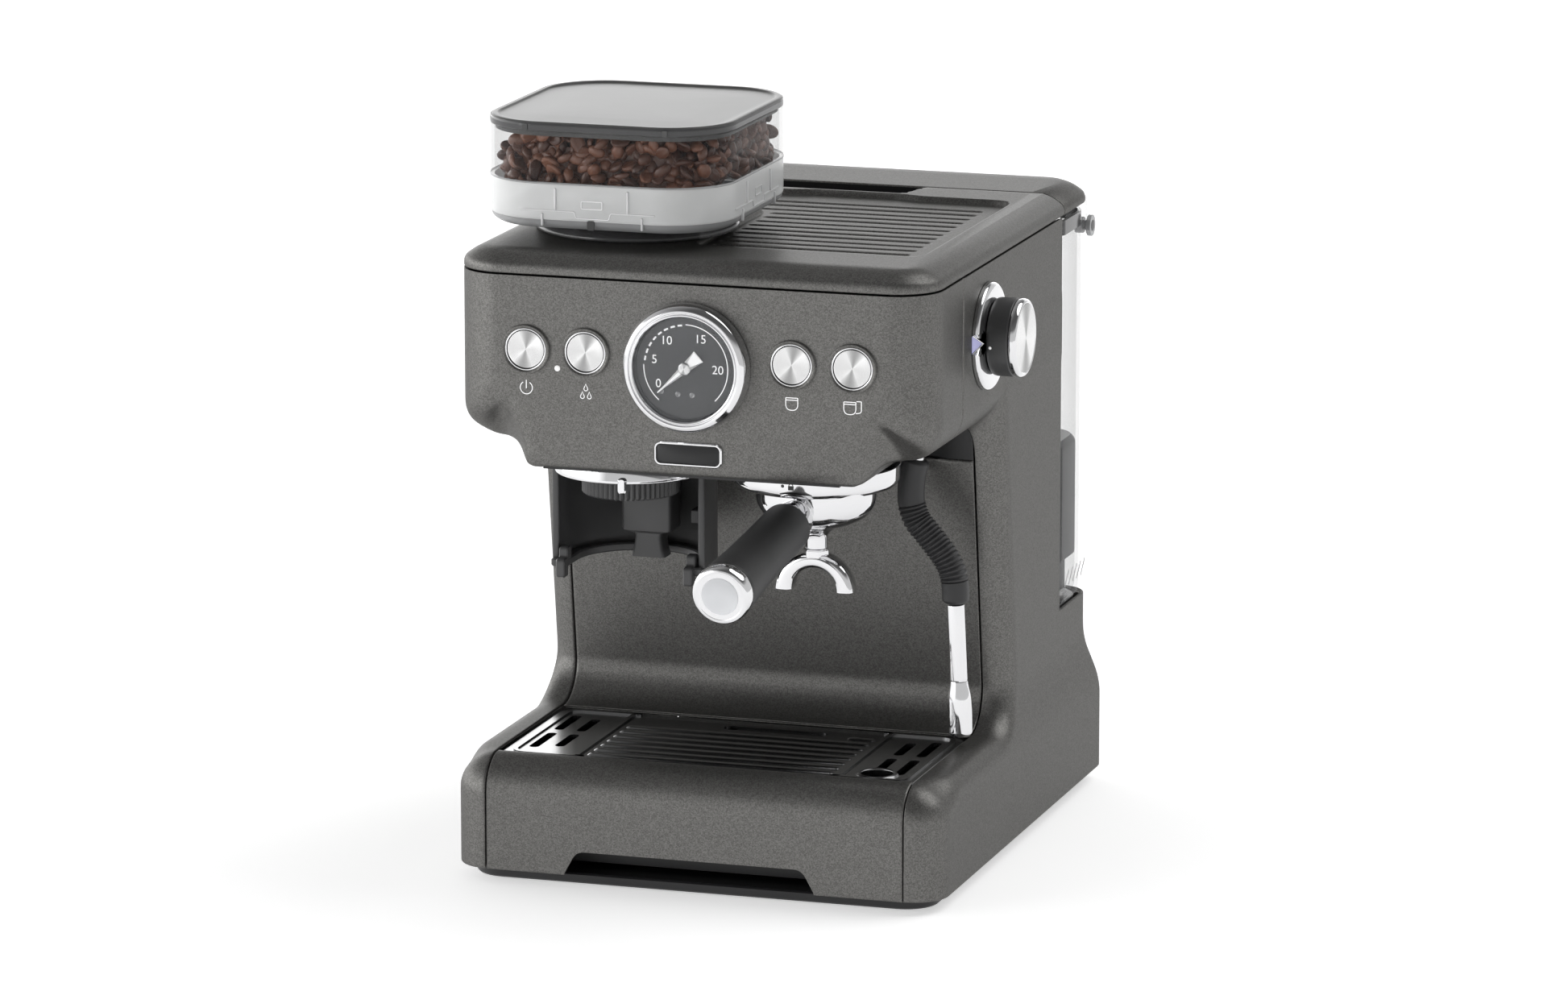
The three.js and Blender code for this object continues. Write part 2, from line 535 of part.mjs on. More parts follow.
function buildGroup() {
  const at = onFloor(GROUP);
  const top = HEAD_BOTTOM_Z - 0.4;
  const collar = [[36.2, COLLAR_Z], [46, COLLAR_Z], [COLLAR_R, 240.5], [COLLAR_R, top], [39.6, top],
    [39.6, 241.2], [36.2, 241.2]];
  const gates = [-45, 135].map((degrees) => {
    const turn = THREE.MathUtils.degToRad(degrees);
    const middleOfGate = new THREE.Vector3(Math.cos(turn) * 37, Math.sin(turn) * 37, 0).add(at);
    return disc(11, COLLAR_Z - 2, 242, middleOfGate, AXIS_Z, 16);
  });
  add("group_collar", cut(spin(collar, at, AXIS_Z, 28), ...gates), chrome);
  add("group_gasket", ring(27.5, 36, 247.6, 250.2, at), rubber);
  add("shower_screen", disc(27.1, 248.2, 249.6, at), steel);
  add("boiler", join(disc(36, 257, 322, at), disc(30, 250.2 + GAP, 258, at)), brass);
}

function buildPortafilter() {
  const at = onFloor(GROUP);
  const outside = [[0, 199.6], [6.6, 199.6], [6.6, 209], [12, 212], [25, 216.5], [32.5, 220.5],
    [CUP_R, 227], [CUP_R, 245.6], [0, 245.6]];
  const earBar = box(GROUP.x - 45, GROUP.x + 45, GROUP.y - 9, GROUP.y + 9, 240, 246);
  const ears = meet(disc(39, 241.7, 245.2, at, AXIS_Z, 24), earBar);
  const bowl = [[0, 222], [30, 222], [31.6, 225], [31.6, 260], [0, 260]];
  const drain = disc(3.4, 190, 230, at, AXIS_Z, 16);
  const neckEnd = handleStart.clone().addScaledVector(handleAxis, -22);
  const neck = [[0, 0], [8.5, 0], [8.5, 16], [11.6, 20], [12.2, 31.8], [0, 31.8]];
  const ferrule = spin(neck, neckEnd, handleAxis, 20);
  const cup = cut(join(spin(outside, at, AXIS_Z, 24), ears, ferrule), spin(bowl, at), drain);
  add("portafilter_body", cup, chrome);
  const basket = [[0, 224], [26, 224], [31, 229], [31, 246], [34.6, 246], [34.6, 247.2],
    [30, 247.2], [30, 229.6], [25.6, 225], [0, 225]];
  add("filter_basket", spin(basket, at), steel);
  const grip = [[0, 10.2], [12.6, 10.2], [14.7, 12.5], [15, 60], [16.3, 100], [17.2, 116.6], [0, 116.6]];
  add("portafilter_handle", spin(grip, handleStart, handleAxis), rubber);
  const cap = [[0, 117], [17.4, 117], [17.6, 120], [16.8, 124.4], [14.6, 125.6], [0, 125.6]];
  add("handle_end_cap", spin(cap, handleStart, handleAxis), chrome);

  const arch = new THREE.Shape();
  arch.absarc(0, 0, 22.5, THREE.MathUtils.degToRad(8), THREE.MathUtils.degToRad(172), false);
  arch.absarc(0, -2, 14, THREE.MathUtils.degToRad(172), THREE.MathUtils.degToRad(8), true);
  const bow = prismY(arch, -7, 7, 8).translate([GROUP.x, GROUP.y, 174.5]);
  const nut = disc(8, 193, 199.3, at, AXIS_Z, 20);
  const through = disc(3.4, 185, 205, at, AXIS_Z, 12);
  add("double_spout", cut(join(bow, nut), through), chrome);
}

// ---- Front controls ----
function buildFront() {
  const at = new THREE.Vector3(0, HEAD_FRONT, GAUGE_Z);
  const forward = AXIS_Y.clone().negate();
  const bezel = [[0, -20], [33, -20], [33, GAP], [GAUGE_R, GAP], [GAUGE_R, 6.5], [35, 10.2], [32.5, 11],
    [30.5, 9.6], [30.5, 3.4], [0, 3.4]];
  add("gauge_case", spin(bezel, at, forward, 24), chrome);
  add("gauge_dial", disc(30, 3.8, 4.8, at, forward), black);
  const zero = THREE.MathUtils.degToRad(222);
  const along = (r) => [r * Math.cos(zero), GAUGE_Z + r * Math.sin(zero)];
  const across = (w) => [w * -Math.sin(zero), w * Math.cos(zero)];
  const corner = (r, w) => along(r).map((value, i) => value + across(w)[i]);
  const outline = [[-12, -3], [-10, -3.2], [22, -0.6], [22, 0.6], [-10, 3.2], [-12, 3]];
  const blade = prismY(shapeOf(outline.map(([r, w]) => corner(r, w))), HEAD_FRONT - 7.2, HEAD_FRONT - 6.2);
  add("gauge_needle", join(blade, disc(3.8, 5.4, 8.4, at, forward, 12)), lamp);
  add("gauge_lens", disc(30.1, 9, 9.9, at, forward), clear);
  for (const [name, x] of buttonPlaces) {
    const profile = [[0, -12], [8, -12], [8, -7], [BUTTON_R, -7], [BUTTON_R, 0.6],
      [BUTTON_R - 0.8, 1.4], [0, 1.4]];
    add(`button_${name}`, spin(profile, new THREE.Vector3(x, HEAD_FRONT, BUTTON_Z), forward, 20), brushed);
  }
  const lampAt = new THREE.Vector3(LAMP_X, HEAD_FRONT, LAMP_Z);
  add("status_lamp", disc(1.8, -8, 0.4, lampAt, forward, 12), lamp);
  const plate = roundedShape(-20.5, 20.5, BADGE_Z - 7, BADGE_Z + 7, 4, 4, 4);
  add("front_badge", prismY(plate, HEAD_FRONT - 2, HEAD_FRONT - GAP), chrome);
}

function buildKnob() {
  const at = new THREE.Vector3(0, KNOB.x, KNOB.y);
  const wedge = shapeOf([[KNOB.x - 40, KNOB.y - 12], [KNOB.x - 24, KNOB.y], [KNOB.x - 40, KNOB.y + 12]]);
  const plate = [[0, HEAD_HALF + GAP], [31.75, HEAD_HALF + GAP], [31.2, HEAD_HALF + 3.4],
    [26, HEAD_HALF + 5], [0, HEAD_HALF + 5]];
  const bore = disc(4.4, 100, 200, at, AXIS_X, 16);
  add("steam_knob_plate", cut(spin(plate, at, AXIS_X, 28), bore, prismX(wedge, 140, 160)), chrome);
  const body = join(disc(23, HEAD_HALF + 5.5, 163.4, at, AXIS_X), disc(4, 128, HEAD_HALF + 6, at, AXIS_X, 16));
  add("steam_knob", body, paint);
  const cap = [[0, 163.8], [23.2, 163.8], [23.2, 166.6], [21.5, 168.4], [0, 168.4]];
  add("steam_knob_cap", spin(cap, at, AXIS_X), brushed);
}

function buildWand() {
  const { y } = WAND;
  const path = [[WAND.x, WAND.z], [99.6, 238], [98.3, 228], [98.6, 219], [101.8, 209.7],
    [107.8, 202.3], [114.6, 194.3], [120.7, 186], [124.5, 177.4], [125.6, 168.6], [125.8, 161]];
  const points = path.map(([x, z]) => new THREE.Vector3(x, y, z));
  const tilt = new THREE.Vector3(2.1, 0, 12).normalize();
  const ball = new THREE.SphereGeometry(8, 12, 8).translate(WAND.x + 2.6, y, 262);
  const stubFoot = new THREE.Vector3(99.9, y, 237);
  const stub = disc(4.6, 0, 26, stubFoot, tilt, 16);
  const bore = disc(4.6 + GAP, -1, 18, stubFoot, tilt, 16);
  add("wand_stub", join(stub, solid(ball)), chrome);
  add("wand_grip", cut(sweep(points, 8.3, 14, 10), bore), rubber);
  const lean = new THREE.Vector3(-3.8, 0, 81).normalize();
  const foot = new THREE.Vector3(129.5, y, 80.5);
  const lower = [[0, 0], [6.9, 0], [7.2, 14], [6.9, 24], [5.4, 31], [5.2, 34], [5.2, 79.6], [0, 79.6]];
  add("wand_tube", spin(lower, foot, lean, 16), chrome);
}

// ---- Inner works ----
function buildInside() {
  const pumpAt = new THREE.Vector3(0, 50, 175);
  add("pump", join(box(35, 95, 32, 68, 158, 192), disc(10, 20, 112, pumpAt, AXIS_X, 20)), steel);
  const coil = disc(9, 312, 336, new THREE.Vector3(104, -27, 0), AXIS_Z, 20);
  add("solenoid_valve", join(box(92, 116, -40, -14, 280, 312), coil), brass);
  add("control_board", box(-20, 116, 88, 89.6, 220, 330), board);
}

buildCasing();
buildBase();
buildTray();
buildTop();
buildTank();
buildHopper();
buildGrinder();
buildCradle();
buildGroup();
buildPortafilter();
buildFront();
buildKnob();
buildWand();
buildInside();

export default machine;
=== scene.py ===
import math
import random

import bmesh
import bpy
import numpy as np
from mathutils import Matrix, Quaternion, Vector


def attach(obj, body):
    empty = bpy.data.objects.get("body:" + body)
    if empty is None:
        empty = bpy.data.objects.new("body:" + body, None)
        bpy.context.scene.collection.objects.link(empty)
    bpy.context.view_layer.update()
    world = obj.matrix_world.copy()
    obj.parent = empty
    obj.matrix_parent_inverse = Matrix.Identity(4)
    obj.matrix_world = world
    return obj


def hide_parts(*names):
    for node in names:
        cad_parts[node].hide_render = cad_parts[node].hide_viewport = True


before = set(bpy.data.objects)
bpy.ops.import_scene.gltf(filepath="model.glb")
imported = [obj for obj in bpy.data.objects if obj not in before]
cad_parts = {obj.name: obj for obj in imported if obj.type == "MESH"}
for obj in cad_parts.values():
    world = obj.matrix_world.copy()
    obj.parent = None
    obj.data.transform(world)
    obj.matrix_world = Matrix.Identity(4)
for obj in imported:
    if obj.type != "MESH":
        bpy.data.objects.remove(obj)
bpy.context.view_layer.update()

# ---- Driving dimensions, in millimetres. The front faces -Y and the floor is at Z = 0 ----
MM = 0.001
HEAD_HALF = 144.5
BASE_HALF = 149.5
HEAD_FRONT = -180.0
BASE_FRONT = -175.0
BASE_REAR = 184.0
COLUMN_REAR = 168.0
LID_REAR = 174.0
LID_SEAM_Z = 364.6
DECK_Z = 377.5
HEAD_BOTTOM_Z = 250.8
CHEEK_R = 23.0
CHEEK_Z = 263.0
HEAD_CORNER_R = 28.0
BASE_CORNER_R = 22.0
SHOULDER_Z = 75.0
SHOULDER_R = 11.0
PLINTH_Z = 8.0
PANEL_SEAM_X = 127.6
FASCIA_SEAM_Y = -113.0
LID_SPLIT_Y = 103.2
TANK_FACE_Y = LID_SPLIT_Y + 0.6
TANK_FRONT_Y = 98.5
TANK_BOTTOM_Z = 122.5
SPLASH_TOP_Z = 240.0
SPLASH_FOOT_Y = -11.5
SPLASH_LEAN = 0.14
SPLASH_FRONT = -36.2
TRAY_LIP_Y = -153.0
FILLET_R = 24.0
TRAY_TOP_Z = 73.0
DRIP_HALF = 126.4
BUTTON_R = 12.8
BUTTON_Z = 321.3
BUTTONS = {"power": -98.5, "rinse": -62.2, "one_cup": 62.2, "two_cups": 98.5}
ICON_Z = 298.6
GAUGE_Z = 316.7
BADGE_Z = 265.3
LAMP = (-79.5, 311.0)
GROUP = Vector((55, -110, 0))
GRIND = Vector((-58, -112, 0))
BURR = Vector((-65.5, -75, 0))
KNOB = Vector((0, -64, 322))
HOPPER = {"x0": -140, "x1": 9, "y0": -156, "y1": 6}
HOPPER_R = 40.0
HOPPER_SEAM_Z = 414.4
HOPPER_TOP_Z = 444.3
HALF_GAP = 0.3
SEAM_LIP = 0.7
PANEL_WALL = 2.4
TANK_HALF = 143.8
TANK_RIM_Z = 362.0
LID_PIN = (156, 350)
COLLAR_R = 49.0
KNOB_PLATE_R = 31.75
WAND_Y = -62.0
LINE = 0.5
AXIS_X = Vector((1, 0, 0))
AXIS_Y = Vector((0, 1, 0))
AXIS_Z = Vector((0, 0, 1))
FORWARD = Vector((0, -1, 0))


# ---- Materials ----
def new_material(name, **inputs):
    """A material and its shader; the keyword names are socket names with _ for a space."""
    made = bpy.data.materials.new(name)
    made.use_nodes = True
    shader = made.node_tree.nodes["Principled BSDF"]
    for key, value in inputs.items():
        socket = shader.inputs[key.replace("_", " ")]
        if key == "Base_Color":
            value = (*value, 1.0)
        socket.default_value = value
    return made, made.node_tree, shader


def drive(tree, node, shader, socket, output=0):
    """Lets one output of a node set a socket of the shader."""
    tree.links.new(node.outputs[output], shader.inputs[socket])


def add_node(tree, kind, **settings):
    """A node; each setting is one of its properties or else one of its inputs."""
    made = tree.nodes.new(kind)
    for key, value in settings.items():
        if hasattr(made, key):
            setattr(made, key, value)
        else:
            made.inputs[key.replace("_", " ")].default_value = value
    return made


def grain(tree, scale, detail=3.0, stretch=(1, 1, 1)):
    """A noise texture in object space; scale counts features per metre."""
    coords = add_node(tree, "ShaderNodeTexCoord")
    mapping = add_node(tree, "ShaderNodeMapping")
    mapping.inputs["Scale"].default_value = stretch
    noise = add_node(tree, "ShaderNodeTexNoise", Scale=scale, Detail=detail)
    tree.links.new(coords.outputs["Object"], mapping.inputs["Vector"])
    tree.links.new(mapping.outputs["Vector"], noise.inputs["Vector"])
    return noise


def cells(tree, scale):
    """A cell texture in object space; scale counts cells per metre."""
    coords = add_node(tree, "ShaderNodeTexCoord")
    voronoi = add_node(tree, "ShaderNodeTexVoronoi", Scale=scale)
    tree.links.new(coords.outputs["Object"], voronoi.inputs["Vector"])
    return voronoi


def ramp(tree, source, low, high, color_low, color_high):
    """Maps a 0 to 1 value onto two colours between two stops."""
    made = add_node(tree, "ShaderNodeValToRGB")
    first, last = made.color_ramp.elements
    first.position, last.position = low, high
    first.color, last.color = (*color_low, 1), (*color_high, 1)
    tree.links.new(source, made.inputs["Fac"])
    return made


def spread(tree, source, low, high):
    """Maps a 0 to 1 value onto a range of numbers."""
    made = add_node(tree, "ShaderNodeMapRange")
    made.inputs["To Min"].default_value = low
    made.inputs["To Max"].default_value = high
    tree.links.new(source, made.inputs["Value"])
    return made


def bump(tree, shader, height, strength, distance):
    """Fine relief from a height value."""
    made = add_node(tree, "ShaderNodeBump", Strength=strength, Distance=distance)
    tree.links.new(height, made.inputs["Height"])
    drive(tree, made, shader, "Normal")


def metallic_paint():
    """Satin gunmetal paint: fine flakes of varying brightness and tilt under a slight orange peel."""
    made, tree, shader = new_material("grey_paint", Metallic=0.78, Roughness=0.42)
    shader.inputs["Specular Tint"].default_value = (0.5, 0.5, 0.5, 1)
    flakes = cells(tree, 1700)
    split = add_node(tree, "ShaderNodeSeparateColor")
    tree.links.new(flakes.outputs["Color"], split.inputs["Color"])
    tone = ramp(tree, split.outputs["Red"], 0.0, 1.0, (0.108, 0.106, 0.101), (0.192, 0.189, 0.182))
    drive(tree, tone, shader, "Base Color")
    rough = spread(tree, grain(tree, 700).outputs["Fac"], 0.36, 0.48)
    drive(tree, rough, shader, "Roughness")
    bump(tree, shader, split.outputs["Green"], 0.1, 0.0001)
    return made


def polished(name, color, roughness, smear=0.05):
    """Polished metal with a faint haze here and there."""
    made, tree, shader = new_material(name, Base_Color=color, Metallic=1.0, Roughness=roughness)
    rough = spread(tree, grain(tree, 60).outputs["Fac"], roughness, roughness + smear)
    drive(tree, rough, shader, "Roughness")
    return made


def brushed(name, color, axis, lean):
    """A face turned about one axis: fine rings, and a painted fan of highlight and shade in the base colour,
    set by the angle round the axis.
    """
    made, tree, shader = new_material(name, Base_Color=color, Metallic=1.0, Roughness=0.26, Anisotropic=0.8)
    tangent = add_node(tree, "ShaderNodeTangent", direction_type="RADIAL", axis=axis)
    drive(tree, tangent, shader, "Tangent")
    coords = add_node(tree, "ShaderNodeTexCoord")
    split = add_node(tree, "ShaderNodeSeparateXYZ")
    tree.links.new(coords.outputs["Object"], split.inputs["Vector"])
    across = "X" if axis == "Y" else "Y"
    # Painted highlight and shade: the base colour runs from full to 0.42 of it in a fan round the axis.
    angle = add_node(tree, "ShaderNodeMath", operation="ARCTAN2")
    tree.links.new(split.outputs["Z"], angle.inputs[0])
    tree.links.new(split.outputs[across], angle.inputs[1])
    double = add_node(tree, "ShaderNodeMath", operation="MULTIPLY_ADD")
    double.inputs[1].default_value = 2.0
    double.inputs[2].default_value = -2 * math.radians(lean)
    tree.links.new(angle.outputs["Value"], double.inputs[0])
    painted_fan = add_node(tree, "ShaderNodeMath", operation="COSINE")
    tree.links.new(double.outputs["Value"], painted_fan.inputs[0])
    tone = ramp(tree, painted_fan.outputs["Value"], 0.35, 1.0, color, [c * 0.42 for c in color])
    drive(tree, tone, shader, "Base Color")
    rings = add_node(tree, "ShaderNodeTexWave", wave_type="RINGS", rings_direction=axis)
    rings.inputs["Scale"].default_value = 900
    tree.links.new(coords.outputs["Object"], rings.inputs["Vector"])
    rough = spread(tree, rings.outputs["Fac"], 0.2, 0.32)
    drive(tree, rough, shader, "Roughness")
    return made


def moulded(name, color, roughness, scale=1600, strength=0.25):
    """Moulded plastic or rubber with a fine spark-eroded texture."""
    made, tree, shader = new_material(name, Base_Color=color, Roughness=roughness)
    fine = grain(tree, scale, 2.0)
    broad = grain(tree, 25, 2.0)
    tone = ramp(tree, broad.outputs["Fac"], 0.3, 0.7, [c * 0.82 for c in color], [c * 1.18 for c in color])
    drive(tree, tone, shader, "Base Color")
    rough = spread(tree, fine.outputs["Fac"], roughness - 0.06, roughness + 0.06)
    drive(tree, rough, shader, "Roughness")
    bump(tree, shader, fine.outputs["Fac"], strength, 0.0002)
    return made


def see_through(name, color, face_alpha, edge_alpha, roughness, gloss=0.5):
    """Clear plastic: thin to look through head on, denser at a slant."""
    made, tree, shader = new_material(name, Base_Color=color, Roughness=roughness)
    shader.inputs["Specular IOR Level"].default_value = gloss
    facing = add_node(tree, "ShaderNodeLayerWeight", Blend=0.35)
    drive(tree, spread(tree, facing.outputs["Facing"], face_alpha, edge_alpha), shader, "Alpha")
    tone = ramp(tree, grain(tree, 40, 2.0).outputs["Fac"], 0.3, 0.7, [c * 0.94 for c in color], color)
    drive(tree, tone, shader, "Base Color")
    return made


def roasted():
    """Coffee beans: each its own brown, with an oily shine and fine wrinkles."""
    made, tree, shader = new_material("roasted_bean", Roughness=0.34)
    geometry = add_node(tree, "ShaderNodeNewGeometry")
    tone = ramp(tree, geometry.outputs["Random Per Island"], 0, 1, (0.05, 0.02, 0.013), (0.2, 0.085, 0.05))
    drive(tree, tone, shader, "Base Color")
    bump(tree, shader, grain(tree, 700).outputs["Fac"], 0.5, 0.0004)
    return made


def printed(name, color, glow=0.0):
    """Print or a small lamp, with emission: the lamp's own light, and on prints a painted glow that makes
    them brighter.
    """
    made, tree, shader = new_material(name, Base_Color=color, Roughness=0.4)
    shader.inputs["Emission Color"].default_value = (*color, 1)
    shader.inputs["Emission Strength"].default_value = glow
    tone = ramp(tree, grain(tree, 900).outputs["Fac"], 0.2, 0.8, [c * 0.9 for c in color], color)
    drive(tree, tone, shader, "Base Color")
    return made


def circuit_board():
    """Green board with a pattern of tracks."""
    made, tree, shader = new_material("circuit_board", Roughness=0.5)
    tone = ramp(tree, cells(tree, 160).outputs["Distance"], 0.1, 0.5, (0.02, 0.2, 0.07), (0.01, 0.06, 0.025))
    drive(tree, tone, shader, "Base Color")
    return made


PAINT = metallic_paint()
CHROME = polished("chrome", (0.74, 0.74, 0.75), 0.05)
STEEL = polished("dark_steel", (0.24, 0.24, 0.242), 0.17, 0.08)
BRASS = polished("brass", (0.55, 0.38, 0.15), 0.3, 0.1)
# Both carry the painted fan of highlight and shade; the last number turns the fan.
BRUSHED_PAINTED_FAN_Y = brushed("brushed_face_painted_fan", (0.74, 0.74, 0.74), "Y", 78)
BRUSHED_PAINTED_FAN_X = brushed("brushed_cap_painted_fan", (0.74, 0.74, 0.74), "X", 90)
PLASTIC = moulded("dark_plastic", (0.048, 0.048, 0.049), 0.4)
BLACK = moulded("black_plastic", (0.009, 0.009, 0.01), 0.38, 900, 0.1)
RUBBER = moulded("soft_black", (0.026, 0.026, 0.027), 0.52, 2200, 0.3)
CLEAR = see_through("clear_plastic", (0.14, 0.145, 0.15), 0.04, 0.22, 0.05, 0.4)
TANK = see_through("tank_plastic", (0.06, 0.063, 0.066), 0.05, 0.22, 0.08, 0.15)
BOWL = see_through("bowl_plastic", (0.88, 0.89, 0.89), 0.5, 0.85, 0.18)
# Painted highlight: opaque light grey for the clear moulded ribs and lines of the hopper, standing for their
# bright edges.
RIB_HIGHLIGHT = moulded("rib_painted_highlight", (0.72, 0.72, 0.73), 0.3)
FROSTED = see_through("frosted_plastic", (0.4, 0.405, 0.41), 0.6, 0.9, 0.25, 0.3)
SMOKE = see_through("smoked_plastic", (0.11, 0.11, 0.109), 0.9, 0.97, 0.3, 0.1)
SMOKE_DARK = see_through("smoked_collar", (0.07, 0.07, 0.072), 0.82, 0.97, 0.12)
LENS = see_through("gauge_glass", (0.8, 0.82, 0.85), 0.04, 0.35, 0.03)
BEAN = roasted()
# Painted glow on the white print, needle and knob dot; on the status lamp it is the lamp's own light.
WHITE = printed("white_print_painted_glow_and_lamp", (0.85, 0.85, 0.85), 0.35)
DARK_PRINT = printed("dark_print", (0.03, 0.03, 0.03))
DIAL = moulded("dial_face", (0.022, 0.022, 0.024), 0.5, 700, 0.05)
# Painted glow on the lavender pointer print.
LAVENDER = printed("lavender_print_painted_glow", (0.5, 0.5, 0.8), 0.1)
PALE = moulded("pale_disc", (0.7, 0.71, 0.73), 0.3)
BOARD = circuit_board()


# ---- Mesh building ----
SHARP_DEGREES = 38
CUT_TOLERANCE = 2e-5


def placed(name, data):
    """A new object in the scene."""
    made = bpy.data.objects.new(name, data)
    bpy.context.scene.collection.objects.link(made)
    return made


def piece(name, verts, faces, material, body, slot, nodes=(), origin=(0, 0, 0), sharp=SHARP_DEGREES,
          merge=True):
    """A mesh piece from points in millimetres, riding on a body and standing for CAD nodes."""
    mesh = bpy.data.meshes.new(name)
    points = (np.asarray(verts, float) - np.asarray(origin, float)) * MM
    mesh.from_pydata(points.tolist(), [], [tuple(f) for f in faces])
    if merge:
        bm = bmesh.new()
        bm.from_mesh(mesh)
        bmesh.ops.remove_doubles(bm, verts=bm.verts, dist=2e-6)
        bmesh.ops.dissolve_degenerate(bm, edges=bm.edges, dist=1e-7)
        bmesh.ops.recalc_face_normals(bm, faces=bm.faces)
        bm.to_mesh(mesh)
        bm.free()
    return finished(name, mesh, material, body, nodes, origin, sharp)


def finished(name, mesh, material, body, nodes=(), origin=(0, 0, 0), sharp=SHARP_DEGREES):
    mesh.shade_smooth()
    mesh.set_sharp_from_angle(angle=math.radians(sharp))
    mesh.materials.append(material)
    made = placed(name, mesh)
    made.location = Vector(origin) * MM
    bpy.context.view_layer.update()
    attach(made, body)
    if nodes:
        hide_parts(*nodes)
    return made


def merged(*parts):
    """Joins (verts, faces) pairs into one pair."""
    verts, faces, base = [], [], 0
    for part_verts, part_faces in parts:
        verts.extend(tuple(v) for v in part_verts)
        faces.extend(tuple(i + base for i in face) for face in part_faces)
        base += len(part_verts)
    return verts, faces


def soften(points, radius, closed=False, steps=4):
    """Rounds a polyline's corners; radius is one number, or one number for each point."""
    count = len(points)
    radii = radius if isinstance(radius, (list, tuple)) else [radius] * count
    flat = [Vector((*p[:2], 0)) for p in points]
    out = []
    for i, (corner, r) in enumerate(zip(flat, radii)):
        if r <= 0 or (not closed and i in (0, count - 1)):
            out.append(corner)
            continue
        back = flat[i - 1] - corner
        ahead = flat[(i + 1) % count] - corner
        reach = min(r, back.length * 0.49, ahead.length * 0.49)
        a = corner + back.normalized() * reach
        b = corner + ahead.normalized() * reach
        for k in range(steps + 1):
            t = k / steps
            out.append(a * (1 - t) ** 2 + corner * 2 * t * (1 - t) + b * t * t)
    return [(p.x, p.y) for p in out]


def lathe(profile, at, axis=AXIS_Z, segments=72, closed=False):
    """A (radius, height) profile turned about axis through at."""
    turn = Vector(axis).to_track_quat("Z", "Y")
    verts, faces = [], []
    for r, h in profile:
        for i in range(segments):
            angle = 2 * math.pi * i / segments
            verts.append(Vector(at) + turn @ Vector((r * math.cos(angle), r * math.sin(angle), h)))
    rows = len(profile)
    for k in range(rows if closed else rows - 1):
        for i in range(segments):
            j = (i + 1) % segments
            low, high = k * segments, ((k + 1) % rows) * segments
            faces.append((low + i, low + j, high + j, high + i))
    return verts, faces


def turned(profile, at, axis=AXIS_Z, radius=0.4, segments=72, closed=False):
    """A lathe with the corners of its profile rounded."""
    return lathe(soften(profile, radius, closed), at, axis, segments, closed)


def loft(loops, caps=True, closed=True):
    """Joins loops with the same number of points."""
    count = len(loops[0])
    verts = [tuple(p) for loop in loops for p in loop]
    faces = []
    for k in range(len(loops) - 1):
        for i in range(count if closed else count - 1):
            j = (i + 1) % count
            faces.append((k * count + i, k * count + j, (k + 1) * count + j, (k + 1) * count + i))
    if caps:
        faces.append(tuple(reversed(range(count))))
        faces.append(tuple(range((len(loops) - 1) * count, len(loops) * count)))
    return verts, faces


def rounded_rect(x0, x1, y0, y1, r, steps=10):
    """Counter-clockwise outline; r is one radius, or four from the corner at x1, y0 onwards."""
    radii = r if isinstance(r, (list, tuple)) else [r] * 4
    corners = [(x1, y0, -90, -1, 1), (x1, y1, 0, -1, -1), (x0, y1, 90, 1, -1), (x0, y0, 180, 1, 1)]
    loop = []
    for (cx, cy, start, sx, sy), radius in zip(corners, radii):
        radius = max(radius, 0.02)
        for i in range(steps + 1):
            angle = math.radians(start + 90 * i / steps)
            x = cx + sx * radius + radius * math.cos(angle)
            y = cy + sy * radius + radius * math.sin(angle)
            loop.append((x, y))
    return loop


def offset(loop, distance):
    """Moves a counter-clockwise outline inwards along its vertex normals."""
    points = np.asarray(loop, float)
    ahead = np.roll(points, -1, 0) - points
    lengths = np.hypot(*ahead.T)[:, None]
    ahead = ahead / np.maximum(lengths, 1e-9)
    normal = np.stack([-ahead[:, 1], ahead[:, 0]], 1)
    mean = normal + np.roll(normal, 1, 0)
    scale = np.maximum((mean ** 2).sum(1), 0.5)[:, None]
    return points + mean * (2 * distance / scale)


def slab(loop, levels, place):
    """A solid with the same outline at several heights: levels are (inset, height) pairs."""
    area = sum(a[0] * b[1] - b[0] * a[1] for a, b in zip(loop, loop[1:] + loop[:1]))
    outline = list(loop) if area > 0 else list(reversed(loop))
    return loft([[place(u, v, h) for u, v in offset(outline, inset)] for inset, h in levels])


def edged(low, high, bevel=0.4):
    """Levels of a slab with bevelled rims."""
    return [(bevel, low), (0, low + bevel), (0, high - bevel), (bevel, high)]


def on_z(u, v, h):
    """Outline in x and y; heights run along z."""
    return (u, v, h)


def on_front(u, v, h):
    """Outline in x and z; heights are measured forwards from the head's front face."""
    return (u, HEAD_FRONT - h, v)


def on_side(u, v, h):
    """Outline in y and z; heights run along x."""
    return (h, u, v)


def block(x0, x1, y0, y1, z0, z1, bevel=0.5, corner=0.8):
    """A box with rounded corners and bevelled rims."""
    return slab(rounded_rect(x0, x1, y0, y1, corner, 4), edged(z0, z1, bevel), on_z)


